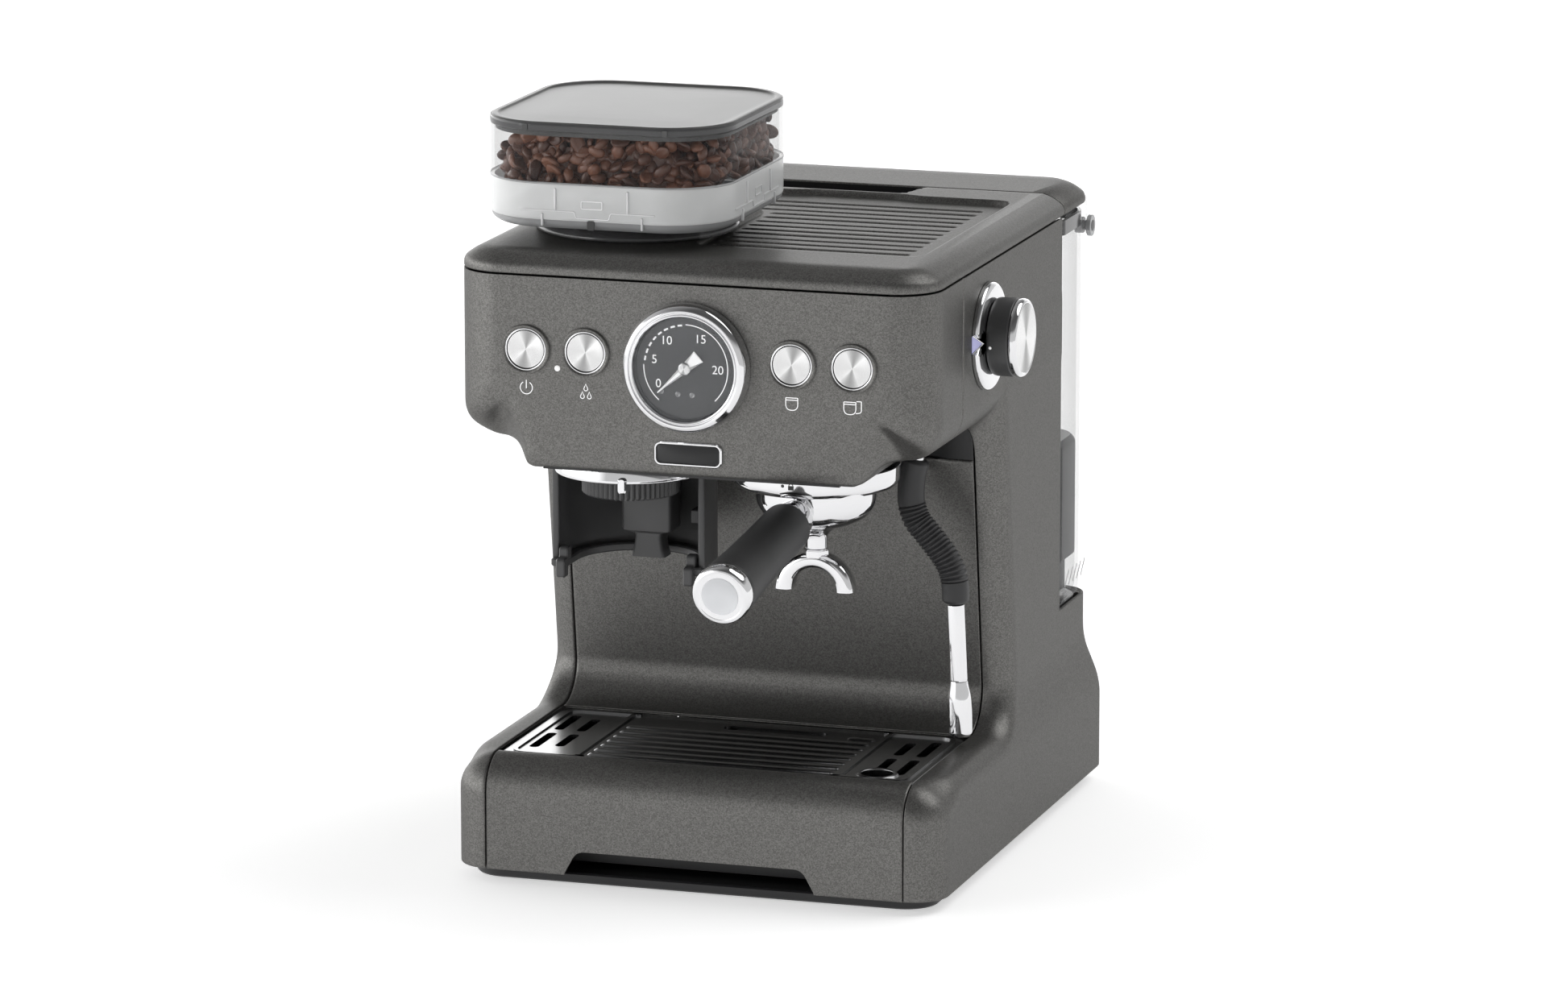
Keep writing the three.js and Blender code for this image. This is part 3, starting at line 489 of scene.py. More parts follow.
def smooth_path(points, count):
    """A Catmull-Rom curve through the points, evenly sampled."""
    knots = [Vector(p) for p in points]
    knots = [knots[0] * 2 - knots[1]] + knots + [knots[-1] * 2 - knots[-2]]
    fine = []
    for i in range(1, len(knots) - 2):
        p0, p1, p2, p3 = knots[i - 1:i + 3]
        for k in range(24):
            t = k / 24
            fine.append(0.5 * ((2 * p1) + (p2 - p0) * t + (2 * p0 - 5 * p1 + 4 * p2 - p3) * t * t
                               + (3 * p1 - p0 - 3 * p2 + p3) * t ** 3))
    fine.append(knots[-2])
    lengths = np.cumsum([0] + [(b - a).length for a, b in zip(fine, fine[1:])])
    out = []
    for s in np.linspace(0, lengths[-1], count):
        i = min(int(np.searchsorted(lengths, s, "right")) - 1, len(fine) - 2)
        t = (s - lengths[i]) / max(lengths[i + 1] - lengths[i], 1e-9)
        out.append(fine[i].lerp(fine[i + 1], float(t)))
    return out


def tube(path, radii, sides=28):
    """A capped tube; radii has one radius for each point of the path."""
    last = len(path) - 1
    tangents = [(path[min(i + 1, last)] - path[max(i - 1, 0)]).normalized() for i in range(len(path))]
    side = tangents[0].orthogonal().normalized()
    loops = []
    for point, tangent, r in zip(path, tangents, radii):
        side = (side - tangent * side.dot(tangent)).normalized()
        up = tangent.cross(side)
        ring = []
        for i in range(sides):
            angle = 2 * math.pi * i / sides
            ring.append(point + side * (r * math.cos(angle)) + up * (r * math.sin(angle)))
        loops.append(ring)
    return loft(loops)


def stroke(points, width, place, depth=0.12, closed=False):
    """A printed line of constant width along a polyline, standing depth proud of its face."""
    flat = [Vector(p) for p in points]
    count = len(flat)
    left, right = [], []
    for i, p in enumerate(flat):
        before = flat[i - 1] if closed or i else p
        after = flat[(i + 1) % count] if closed or i + 1 < count else p
        along = (after - before).normalized()
        across = Vector((-along.y, along.x)) * width / 2
        left.append(p + across)
        right.append(p - across)
    verts, faces = [], []
    for a, b in zip(left, right):
        verts += [place(a.x, a.y, 0), place(a.x, a.y, depth), place(b.x, b.y, depth), place(b.x, b.y, 0)]
    for i in range(count if closed else count - 1):
        j = (i + 1) % count
        faces += [(4 * i + k, 4 * i + (k + 1) % 4, 4 * j + (k + 1) % 4, 4 * j + k) for k in range(4)]
    if not closed:
        faces += [(0, 1, 2, 3), tuple(4 * (count - 1) + k for k in (3, 2, 1, 0))]
    return verts, faces


def arc(cx, cy, r, start, end, steps=24):
    """Points on a circle between two angles in degrees."""
    angles = [math.radians(start + (end - start) * i / steps) for i in range(steps + 1)]
    return [(cx + r * math.cos(a), cy + r * math.sin(a)) for a in angles]


# ---- Casing: one distance field, sampled and cut along the seams into panels ----
STEP = 2.0


def smoothstep(low, high, value):
    """0 at low, 1 at high and smooth between them."""
    t = np.clip((value - low) / (high - low), 0, 1)
    return t * t * (3 - 2 * t)


def rounded_meet(a, b, r):
    """Distance to the overlap of two shapes, with an edge of radius r."""
    outside = np.hypot(np.maximum(r + a, 0), np.maximum(r + b, 0))
    return np.minimum(-r, np.maximum(a, b)) + outside


def chamfered_meet(a, b, width, r):
    """Distance to the overlap of two shapes, with a flat bevel between them and softened edges."""
    return rounded_meet(np.maximum(a, b), (a + b + width) * math.sqrt(0.5), r)


def rounded_join(a, b, r):
    """Distance to the union of two shapes, with a hollow corner of radius r."""
    inside = np.hypot(np.maximum(r - a, 0), np.maximum(r - b, 0))
    return np.maximum(r, np.minimum(a, b)) - inside


def nearest_on(u, v, loop):
    """Signed distance to a closed outline, and the u value of the nearest point on it."""
    points = np.asarray(loop, float)
    best = np.full(u.shape, 1e9)
    near = np.zeros(u.shape)
    odd = np.zeros(u.shape, bool)
    for (ax, ay), (bx, by) in zip(points, np.roll(points, -1, 0)):
        ex, ey = bx - ax, by - ay
        t = np.clip(((u - ax) * ex + (v - ay) * ey) / max(ex * ex + ey * ey, 1e-12), 0, 1)
        reach = np.hypot(u - ax - t * ex, v - ay - t * ey)
        near = np.where(reach < best, ax + t * ex, near)
        best = np.minimum(best, reach)
        if ay != by:
            crosses = (ay > v) != (by > v)
            odd ^= crosses & (u < ex * (v - ay) / ey + ax)
    return np.where(odd, -best, best), near


def polygon_distance(u, v, loop):
    """Signed distance from points to a closed outline, negative inside."""
    return nearest_on(u, v, loop)[0]


def head_outline():
    """Front outline of the head in x and z: round cheeks and a narrower stem."""
    centre = HEAD_HALF - CHEEK_R
    side = arc(centre, CHEEK_Z + CHEEK_R, CHEEK_R, 0, -90, 20)
    stem = [(centre, CHEEK_Z, 0), (113.5, 262.5, 0), (108.6, 260, 0), (104.6, 255.6, 0), (101.4, 252.2, 0),
            (97, 250.9, 0), (90, HEAD_BOTTOM_Z, 0)]
    side += [(p.x, p.y) for p in smooth_path(stem, 24)][1:]
    mirrored = [(-x, z) for x, z in reversed(side)]
    return [(HEAD_HALF, 420.0)] + side + mirrored + [(-HEAD_HALF, 420.0)]


def foot_outline():
    """Side outline of the base and column in y and z, with the sweep between them."""
    front = [(BASE_FRONT, -30.0), (BASE_FRONT, SHOULDER_Z - BASE_CORNER_R)]
    front += arc(BASE_FRONT + BASE_CORNER_R, SHOULDER_Z - BASE_CORNER_R, BASE_CORNER_R, 180, 90, 12)
    sweep = arc(SPLASH_FOOT_Y - FILLET_R, SHOULDER_Z + FILLET_R, FILLET_R, -90, 0, 14)
    rise = 330.0
    top = [(SPLASH_FOOT_Y - SPLASH_LEAN * (rise - SHOULDER_Z - FILLET_R), rise), (COLUMN_REAR, rise)]
    rear = [(COLUMN_REAR + (BASE_REAR - COLUMN_REAR) * flare(z), z) for z in range(104, 52, -3)]
    return front + sweep + top + [(y, float(z)) for y, z in rear] + [(BASE_REAR, -30.0)]


def softened(grid, rounds):
    """Averages with the neighbours, so that the values change slowly over the grid."""
    for _ in range(rounds):
        wide = np.pad(grid, 1, mode="edge")
        beside = wide[:-2, 1:-1] + wide[2:, 1:-1] + wide[1:-1, :-2] + wide[1:-1, 2:]
        grid = (beside + 4 * grid) / 8
    return grid


def flare(z):
    """0 up the column, growing to 1 where the foot spreads out to the base."""
    return 0.5 - 0.5 * np.cos(np.pi * np.clip((100 - z) / 45, 0, 1))


def casing_field():
    """Distances to the painted casing on a regular grid: the head joined to the base and column."""
    margin = 5
    low = np.array([-BASE_HALF - margin, BASE_FRONT - 12, 1.0])
    across = int(2 * (BASE_HALF + margin) / STEP) + 1
    counts = [across, 192, 188]
    x, y, z = [low[i] + STEP * np.arange(counts[i]) for i in range(3)]
    x3, y3, z3 = x[:, None, None], y[None, :, None], z[None, None, :]
    outline, near = nearest_on(*np.meshgrid(x, z, indexing="ij"), head_outline())
    outline, near = outline[:, None, :], softened(np.abs(near), 60)[:, None, :]
    edge = np.clip(3 + 1.04 * (near - 97), 3, HEAD_CORNER_R)
    head = rounded_meet(outline, HEAD_FRONT - y3, edge)
    under = smoothstep(143, 124, near)
    head = head * (1 - under) + chamfered_meet(outline, HEAD_FRONT - y3, edge, 3.5) * under
    profile = polygon_distance(*np.meshgrid(y, z, indexing="ij"), foot_outline())[None]
    half = HEAD_HALF + (BASE_HALF - HEAD_HALF) * flare(z3)
    corner = SHOULDER_R + (BASE_CORNER_R - SHOULDER_R) * smoothstep(-128, -156, y3)
    corner = corner + 7 * smoothstep(72, 108, z3) + 0 * y3
    foot = rounded_meet(profile, np.abs(x3) - half, corner)
    hollow = 22 * np.clip((HEAD_HALF - np.abs(x3)) / 15, 0.01, 1)
    return low, rounded_join(head, foot, hollow)


def surface_nets(low, field):
    """Quads where the sampled field changes sign, one point to a cell."""
    inside = field < 0
    offsets = [(i, j, k) for i in (0, 1) for j in (0, 1) for k in (0, 1)]
    shape = [n - 1 for n in field.shape]
    corners = [inside[i:i + shape[0], j:j + shape[1], k:k + shape[2]] for i, j, k in offsets]
    total = sum(corner.astype(np.int8) for corner in corners)
    active = np.argwhere((total > 0) & (total < 8))
    corner_values = [field[tuple((active + o).T)] for o in offsets]
    position = np.zeros((len(active), 3))
    hits = np.zeros(len(active))
    for a, oa in enumerate(offsets):
        for b, ob in enumerate(offsets):
            if b <= a or sum(abs(p - q) for p, q in zip(oa, ob)) != 1:
                continue
            fa, fb = corner_values[a], corner_values[b]
            crossing = (fa < 0) != (fb < 0)
            t = np.where(crossing, fa / np.where(crossing, fa - fb, 1), 0)
            point = np.array(oa)[None] + t[:, None] * (np.array(ob) - np.array(oa))[None]
            position += point * crossing[:, None]
            hits += crossing
    verts = low + STEP * (active + position / hits[:, None])
    index = np.full(shape, -1)
    index[tuple(active.T)] = np.arange(len(active))
    faces = []
    for axis in range(3):
        ahead = [slice(None)] * 3
        here = [slice(None)] * 3
        ahead[axis], here[axis] = slice(1, None), slice(None, -1)
        change = inside[tuple(here)] != inside[tuple(ahead)]
        edges = np.argwhere(change)
        u, v = (axis + 1) % 3, (axis + 2) % 3
        ok = (edges[:, u] > 0) & (edges[:, v] > 0) & (edges[:, u] < shape[u]) & (edges[:, v] < shape[v])
        edges = edges[ok]
        ring = []
        for du, dv in ((-1, -1), (0, -1), (0, 0), (-1, 0)):
            cell = edges.copy()
            cell[:, u] += du
            cell[:, v] += dv
            ring.append(index[tuple(cell.T)])
        quads = np.stack(ring, 1)
        flip = ~inside[tuple(edges.T)]
        quads[flip] = quads[flip][:, ::-1]
        faces.append(quads)
    return verts, np.concatenate(faces)


def casing_mesh():
    """The sampled casing as one bmesh, in metres."""
    low, field = casing_field()
    verts, faces = surface_nets(low, field)
    mesh = bpy.data.meshes.new("casing_skin")
    mesh.from_pydata((verts * MM).tolist(), [], faces.tolist())
    bm = bmesh.new()
    bm.from_mesh(mesh)
    bpy.data.meshes.remove(mesh)
    return bm


def cut_panel(skin, seams, keep, dip=0.55):
    """Copies the skin, splits it along planes (axis, position) and keeps the faces that keep() accepts.

    The rim of the panel is moved in by dip, so that a seam shows as a rounded groove.
    """
    bm = skin.copy()
    for axis, position in seams:
        normal = Vector((0, 0, 0))
        normal[axis] = 1
        geometry = bm.verts[:] + bm.edges[:] + bm.faces[:]
        at = normal * position * MM
        bmesh.ops.bisect_plane(bm, geom=geometry, dist=CUT_TOLERANCE, plane_co=at, plane_no=normal)
    gone = [f for f in bm.faces if not keep(f.calc_center_median() / MM)]
    bmesh.ops.delete(bm, geom=gone, context="FACES")
    bmesh.ops.remove_doubles(bm, verts=bm.verts, dist=3e-5)
    bm.normal_update()
    rim = [v for v in bm.verts if v.is_boundary]
    moves = [(v, v.normal.copy()) for v in rim]
    for v, normal in moves:
        v.co -= normal * dip * MM
    return bm


def panel(name, bm, body, nodes, thickness=PANEL_WALL, sharp=60):
    """A painted panel from its outer face, with a wall behind it."""
    mesh = bpy.data.meshes.new(name)
    bm.to_mesh(mesh)
    bm.free()
    made = finished(name, mesh, PAINT, body, nodes, sharp=sharp)
    shell = made.modifiers.new("thickness", "SOLIDIFY")
    shell.thickness = thickness * MM
    shell.offset = -1
    shell.use_rim = True
    return made


def seam_pair(axis, position, sign):
    """The cut itself and a line close inside it, so that the rim can be rounded."""
    return [(axis, position), (axis, position + sign * SEAM_LIP)]


def punch(bm, holes, rim=0.9, depth=4.0, count=72):
    """Round holes (x, z, radius) in the flat front of the fascia, each with a rounded rim and a wall."""
    level = HEAD_FRONT * MM

    def reach(point, hole):
        return math.hypot(point.x / MM - hole[0], point.z / MM - hole[1]) - hole[2]

    gone = [f for f in bm.faces if abs(f.calc_center_median().y - level) < 2e-4
            and any(reach(f.calc_center_median(), hole) < 4 for hole in holes)]
    bmesh.ops.delete(bm, geom=gone, context="FACES")
    border = [e for e in bm.edges if e.is_boundary and abs(e.verts[0].co.y - level) < 2e-4
              and any(reach(e.verts[0].co, hole) < 9 for hole in holes)]
    angles = [2 * math.pi * i / count for i in range(count)]
    for x, z, radius in holes:
        lip = min(rim, radius * 0.25)
        rings = []
        section = [(radius + lip, HEAD_FRONT), (radius, HEAD_FRONT), (radius, HEAD_FRONT + depth)]
        for r, y in soften(section, lip):
            points = [(x + r * math.cos(a), y, z + r * math.sin(a)) for a in angles]
            rings.append([bm.verts.new(Vector(point) * MM) for point in points])
        border += [bm.edges.new((rings[0][i], rings[0][(i + 1) % count])) for i in range(count)]
        for outer, inner in zip(rings, rings[1:]):
            for i in range(count):
                j = (i + 1) % count
                bm.faces.new((outer[i], inner[i], inner[j], outer[j]))
    bmesh.ops.triangle_fill(bm, use_beauty=True, edges=border, normal=(0, -1, 0))


def build_casing():
    """The painted panels, all cut from one skin."""
    skin = casing_mesh()
    deck_seam = LID_SEAM_Z - HALF_GAP
    for side, sign in (("left", -1), ("right", 1)):
        seams = seam_pair(0, sign * (PANEL_SEAM_X + HALF_GAP), sign)
        seams += seam_pair(1, FASCIA_SEAM_Y + HALF_GAP, 1) + seam_pair(1, TANK_FRONT_Y, -1)
        seams += seam_pair(2, deck_seam, -1) + seam_pair(2, TANK_BOTTOM_Z, -1) + seam_pair(2, PLINTH_Z, 1)

        def in_side(c, sign=sign):
            beside = c.x * sign > PANEL_SEAM_X + HALF_GAP and PLINTH_Z < c.z < deck_seam
            in_front = c.y < FASCIA_SEAM_Y + HALF_GAP and c.z > SPLASH_TOP_Z - 10
            behind = c.y > TANK_FRONT_Y and c.z > TANK_BOTTOM_Z
            return beside and not in_front and not behind

        panel(f"side_shell_{side}", cut_panel(skin, seams, in_side), "machine", [f"side_panel_{side}"])

    inner = PANEL_SEAM_X - HALF_GAP
    both_sides = seam_pair(0, inner, -1) + seam_pair(0, -inner, 1)

    def in_splash(c):
        return abs(c.x) < inner and SPLASH_FRONT < c.y < 40 and 70 < c.z < SPLASH_TOP_Z

    splash = cut_panel(skin, both_sides + [(2, SPLASH_TOP_Z), (1, SPLASH_FRONT)], in_splash)
    panel("splash_shell", splash, "machine", ["splash_panel"])

    def in_tray_front(c):
        return abs(c.x) < inner and c.y < TRAY_LIP_Y and PLINTH_Z < c.z < 90

    tray = cut_panel(skin, both_sides + [(1, TRAY_LIP_Y)] + seam_pair(2, PLINTH_Z, 1), in_tray_front)
    notch_out_of(panel("tray_front_shell", tray, "tray", ["tray_front"]))

    floor_half = 90.0
    floor_front = HEAD_FRONT + 3
    seams = seam_pair(1, FASCIA_SEAM_Y - HALF_GAP, -1) + seam_pair(2, deck_seam, -1)
    seams += [(0, -floor_half), (0, floor_half), (1, floor_front)]

    def in_fascia(c):
        floor = c.z < HEAD_BOTTOM_Z + 0.6 and abs(c.x) < floor_half and c.y > floor_front
        return c.y < FASCIA_SEAM_Y - HALF_GAP and SPLASH_TOP_Z < c.z < deck_seam and not floor

    fascia = cut_panel(skin, seams, in_fascia)
    punch(fascia, [(x, BUTTON_Z, BUTTON_R + 1.1) for x in BUTTONS.values()] + [(0, GAUGE_Z, 33.5)])
    panel("fascia_shell", fascia, "machine", ["head_fascia"], thickness=2.0)
    build_rear(skin)
    skin.free()


def notch_out_of(front):
    """The finger notch under the tray front."""
    outline = [(-80, -4), (75, -4), (74, 9), (66.5, 22.6), (-71.5, 22.6), (-79, 9)]
    loop = soften(outline, [0, 0, 1.5, 5, 5, 1.5], closed=True, steps=6)
    cut_out(front, slab(loop, [(0, 0), (0, 60)], lambda u, v, h: (u, BASE_FRONT - 10 + h, v)))


def cut_out(made, shape):
    """Cuts a closed (verts, faces) shape out of a piece."""
    mesh = bpy.data.meshes.new("cutter")
    points = np.asarray(shape[0], float) * MM - np.asarray(made.location)
    mesh.from_pydata(points.tolist(), [], [tuple(f) for f in shape[1]])
    bm = bmesh.new()
    bm.from_mesh(mesh)
    bmesh.ops.recalc_face_normals(bm, faces=bm.faces)
    bm.to_mesh(mesh)
    bm.free()
    cutter = placed("cutter", mesh)
    cutter.location = made.location
    bpy.context.view_layer.update()
    cut = made.modifiers.new("cut", "BOOLEAN")
    cut.object = cutter
    cut.operation = "DIFFERENCE"
    cut.solver = "EXACT"
    baked = baked_mesh(made)
    made.modifiers.clear()
    made.data = baked
    bpy.data.objects.remove(cutter)
    made.data.shade_smooth()
    made.data.set_sharp_from_angle(angle=math.radians(SHARP_DEGREES))


def baked_mesh(made):
    """The mesh of an object with its modifiers applied."""
    graph = bpy.context.evaluated_depsgraph_get()
    return bpy.data.meshes.new_from_object(made.evaluated_get(graph))


# ---- Cup deck and tank lid ----
# Middle of each groove along Y, and how far the recess, the grooves and the pocket go down.
GROOVES = [-117 + 13.7 * i for i in range(13)]
RECESS_DEPTH = 3.3
GROOVE_DEPTH = 1.9
POCKET_DEPTH = 10


def box_distance(x, y, x0, x1, y0, y1, r):
    """Signed distance to a rounded rectangle, negative inside."""
    dx = np.abs(x - (x0 + x1) / 2) - (x1 - x0) / 2 + r
    dy = np.abs(y - (y0 + y1) / 2) - (y1 - y0) / 2 + r
    return np.hypot(np.maximum(dx, 0), np.maximum(dy, 0)) + np.minimum(np.maximum(dx, dy), 0) - r


def pocket_distance(x, y):
    """Signed distance to the finger pocket at the rear of the deck."""
    return polygon_distance(x, y, [(-118, 79), (50, 79), (60, 112), (-118, 112)])


def deck_height(x, y, with_pocket):
    """Height of the deck: an L-shaped recess round the hopper, its grooves and the finger pocket."""
    right = box_distance(x, y, -16, 122, -126, 72, 15)
    left = box_distance(x, y, -122, 60, 14, 72, 14)
    height = DECK_Z - RECESS_DEPTH * smoothstep(0.3, -1.7, rounded_join(right, left, 10))
    for groove in GROOVES:
        start = -106 if groove > 18 else -8
        along = np.maximum(np.maximum(start - x, x - 107), 0)
        height = height - GROOVE_DEPTH * smoothstep(2.4, 0.6, np.hypot(along, y - groove))
    if with_pocket:
        height = np.minimum(height, DECK_Z - POCKET_DEPTH * smoothstep(0.1, -1.0, pocket_distance(x, y)))
    return height


def graded(low, high, step, centres, reach, fine):
    """Evenly spaced values with extra ones around some centres."""
    values = list(np.arange(low, high, step)) + [high]
    for centre in centres:
        values += [v for v in np.arange(centre - reach, centre + reach, fine) if low < v < high]
    values = sorted(values)
    kept = [values[0]]
    for v in values[1:]:
        if v - kept[-1] > fine * 0.6:
            kept.append(v)
    kept[-1] = high
    return np.array(kept)


def top_skin(with_pocket):
    """The outside of the deck: a lofted rim round a recessed field of grooves."""
    rim = soften([(0.6, 365.0), (0, 365.7), (0, 368.6), (1.2, 371.2), (7.5, 375.6), (13.5, DECK_Z)],
                 [0, 0.4, 2, 3, 4, 0], steps=6)
    loops = []
    for inset, z in rim:
        outline = rounded_rect(-HEAD_HALF + inset, HEAD_HALF - inset, HEAD_FRONT + inset, LID_REAR - inset,
                               HEAD_CORNER_R - inset, 12)
        loops.append([(x, y, z) for x, y in outline])
    verts, faces = loft(loops, caps=False)
    xs = graded(-123.5, 123.5, 2.2, (-122, -118, -106, -16, -8, 107, 122), 2.4, 0.8)
    ys = graded(-159, 152, 3.2, GROOVES + [-126, 14, 72, 79], 2.5, 0.62)
    gx, gy = np.meshgrid(xs, ys, indexing="ij")
    gz = deck_height(gx, gy, with_pocket)
    bm = bmesh.new()
    rings = [bm.verts.new(Vector(v) * MM) for v in verts]
    for face in faces:
        bm.faces.new([rings[i] for i in face])
    inner = set(rings[-len(loops[0]):])
    grid = [[bm.verts.new((gx[i, j] * MM, gy[i, j] * MM, gz[i, j] * MM)) for j in range(len(ys))]
            for i in range(len(xs))]
    for i in range(len(xs) - 1):
        for j in range(len(ys) - 1):
            bm.faces.new((grid[i][j], grid[i + 1][j], grid[i + 1][j + 1], grid[i][j + 1]))
    above = 370 * MM
    border = [e for e in bm.edges if e.is_boundary and min(v.co.z for v in e.verts) > above]
    border.sort(key=lambda e: not all(v in inner for v in e.verts))
    bmesh.ops.triangle_fill(bm, use_beauty=True, edges=border, normal=(0, 0, 1))
    bmesh.ops.recalc_face_normals(bm, faces=bm.faces)
    return bm


def split_top(bm, position, sign):
    """Cuts across the top and keeps one side, with a rounded seam."""
    for y in (position, position + SEAM_LIP * sign):
        geometry = bm.verts[:] + bm.edges[:] + bm.faces[:]
        at = (0, y * MM, 0)
        bmesh.ops.bisect_plane(bm, geom=geometry, dist=CUT_TOLERANCE, plane_co=at, plane_no=AXIS_Y)
    gone = [f for f in bm.faces if (f.calc_center_median().y / MM - position) * sign < 0]
    bmesh.ops.delete(bm, geom=gone, context="FACES")
    bm.normal_update()
    rim = [(v, v.normal.copy()) for v in bm.verts if v.is_boundary and abs(v.co.y / MM - position) < 0.01]
    for v, normal in rim:
        v.co -= normal * 0.3 * MM
    return bm


def build_top():
    """Cup deck and tank lid, cut from the same top."""
    deck = split_top(top_skin(True), LID_SPLIT_Y, -1)
    neck = [f for f in deck.faces if (f.calc_center_median() / MM - BURR).xy.length < 39]
    bmesh.ops.delete(deck, geom=neck, context="FACES")
    for face in deck.faces:
        c = face.calc_center_median() / MM
        if c.z < DECK_Z - 0.6 and pocket_distance(np.array([c.x]), np.array([c.y]))[0] < -0.1:
            face.material_index = 1
    made = panel("deck_shell", deck, "machine", ["top_deck"])
    made.data.materials.append(BLACK)
    panel("tank_lid_shell", split_top(top_skin(False), LID_SPLIT_Y + 1.0, 1), "tank_cover", ["tank_lid"])
    # Painted shade: the lid's grey-painted wall at the split is coloured black, so the seam to the deck
    # reads dark.
    profile = [(143.9, 365.6), (143.9, 368.4), (142.8, 370.8), (136.8, 375), (131, 376.9)]
    outline = profile + [(-x, z) for x, z in reversed(profile)]
    seam_shade_wall = slab(outline, [(0, LID_SPLIT_Y + 1.3), (0, LID_SPLIT_Y + 3.6)], lambda u, v, h: (u, h, v))
    piece("tank_lid_wall_painted_shade", *seam_shade_wall, BLACK, "tank_cover", "grey_paint")
    outline = [(151, 368)] + arc(*LID_PIN, 5, 180, 360, 16) + [(161, 368)]
    ears = []
    for side in (-1, 1):
        middle = side * 143.4
        ears.append(slab(outline, edged(middle - 1, middle + 1, 0.3), on_side))
    piece("tank_lid_ears", *merged(*ears), CLEAR, "tank_cover", "dark_plastic")


# ---- Base, rear cover, drip plate ----
def build_base():
    """Plinth with the tray housing, and four rubber feet."""
    outline = rounded_rect(-141.5, 141.5, -167, 176, [20, 14, 14, 20])
    plinth = slab(outline, edged(1.5, PLINTH_Z - 0.35, 1.0), on_z)
    rails = [block(x, x + 2.5, -150, -37, 7, 69) for x in (-126.3, 123.8)]
    rear = block(-126.3, 126.3, -38, -35.8, 7, 66)
    # Backing behind the two seams of the tray front, so that no light shows through them.
    for side in (-1, 1):
        a, b = sorted((side * (PANEL_SEAM_X - 1), side * (PANEL_SEAM_X + 2.5)))
        rails.append(block(a, b, -172, -160, 9, 62))
    piece("plinth", *merged(plinth, *rails, rear), BLACK, "machine", "black_plastic", ["base_pan"])
    profile = [(0, 0.6), (5, 0.6), (6, 0), (10.6, 0), (12, 1.4), (12, 5), (0, 5)]
    for end, y in (("front", -140), ("rear", 150)):
        for side, x in (("left", -118), ("right", 118)):
            pad = turned(profile, (x, y, 0), radius=0.5, segments=40)
            piece(f"rubber_{end}_{side}", *pad, RUBBER, "machine", "rubber", [f"foot_{end}_{side}"])


def build_rear(skin):
    """Rear cover, the shelf and wall round the tank, and the gland of the cord."""
    inner = PANEL_SEAM_X - HALF_GAP
    seams = seam_pair(0, inner, -1) + seam_pair(0, -inner, 1) + [(1, 60.0)]
    seams += seam_pair(2, PLINTH_Z, 1) + seam_pair(2, TANK_BOTTOM_Z, -1)

    def in_rear(c):
        return abs(c.x) < inner and c.y > 60 and PLINTH_Z < c.z < TANK_BOTTOM_Z

    panel("rear_shell", cut_panel(skin, seams, in_rear), "machine", ["rear_cover"])
    outline = rounded_rect(-140, 140, 93, COLUMN_REAR - 3.5, [1, 22, 22, 1])
    shelf = slab(outline, edged(119.2, 122.1), on_z)
    wall = block(-140, 140, TANK_FRONT_Y - 4, TANK_FRONT_Y - 0.4, 119.5, LID_SEAM_Z - 0.4)
    at = (84, BASE_REAR, 36)
    profile = [(4.5, -11), (4.5, 0.5), (6.5, 1.6), (9, 1.6), (10, -0.2), (12, -0.9), (12, -15), (4.5, -15)]
    gland = turned(profile, at, AXIS_Y, 0.6, 48, closed=True)
    piece("tank_shelf", *merged(shelf, wall), PLASTIC, "machine", "dark_plastic")
    piece("cord_gland", *gland, BLACK, "machine", "black_plastic", origin=at)


def build_drip_plate():
    """Slotted sheet with a collared finger hole, raised bars and two raised lines at each end."""
    outline = rounded_rect(-DRIP_HALF, DRIP_HALF, -152.5, -36.5, [3, 10, 10, 3])
    sheet = slab(outline, edged(70.5, TRAY_TOP_Z, 0.5), on_z)
    made = piece("drip_sheet", *sheet, STEEL, "plate", "dark_steel", ["drip_plate"])
    through = [(0, 60), (0, 80)]
    cutters = []
    for side in (-1, 1):
        for inset, length in ((14, 40), (28, 34)):
            for y0, y1 in ((-94 - length, -97), (-89, -92 + length)):
                x = side * (DRIP_HALF - inset)
                cutters.append(slab(rounded_rect(x - 3, x + 3, y0, y1, 2.9), through, on_z))
    cutters.append(slab(rounded_rect(-20, 44, -58, -49, 4.4), through, on_z))
    hole = Vector((101, -138, 0))
    cutters.append(slab(arc(hole.x, hole.y, 9.5, 0, 354, 59), through, on_z))
    cut_out(made, merged(*cutters))

    collar = [(9.5, 72.6), (9.5, 74.3), (10.6, 74.9), (12, 74.2), (13, 72.8)]
    raised = [turned(collar, hole, segments=60)]
    swell = [(0, 72.8), (0.6, 73.3), (1.6, 73.9), (2.6, 74.2), (3.3, 74.25)]
    bar_end = 76
    for i in range(8):
        y = -141 + 11.8 * i
        x0 = -bar_end if i < 7 else 58
        raised.append(slab(rounded_rect(x0, bar_end, y - 3.6, y + 3.6, 3.5, 8), swell, on_z))
    for side in (-1, 1):
        start = side * bar_end
        for reach in (80.5, 120.5):
            path = [(start, -148), (side * reach, -148), (side * reach, -41), (start, -41)]
            line = soften(path, [0, 9, 9, 0], steps=8)
            raised.append(stroke(line, 2.6, lambda u, v, h: (u, v, TRAY_TOP_Z - 0.1 + h), 1.1))
    piece("drip_sheet_ribs", *merged(*raised), STEEL, "plate", "dark_steel")


# ---- Water tank ----
def tank_loop(inset, z):
    """Outline of the tank, moved inwards by inset."""
    radius = [max(4 - inset, 1), 28 - inset, 28 - inset, max(4 - inset, 1)]
    half = TANK_HALF - inset
    outline = rounded_rect(-half, half, TANK_FACE_Y + inset, COLUMN_REAR - inset, radius)
    return [(x, y, z) for x, y in outline]


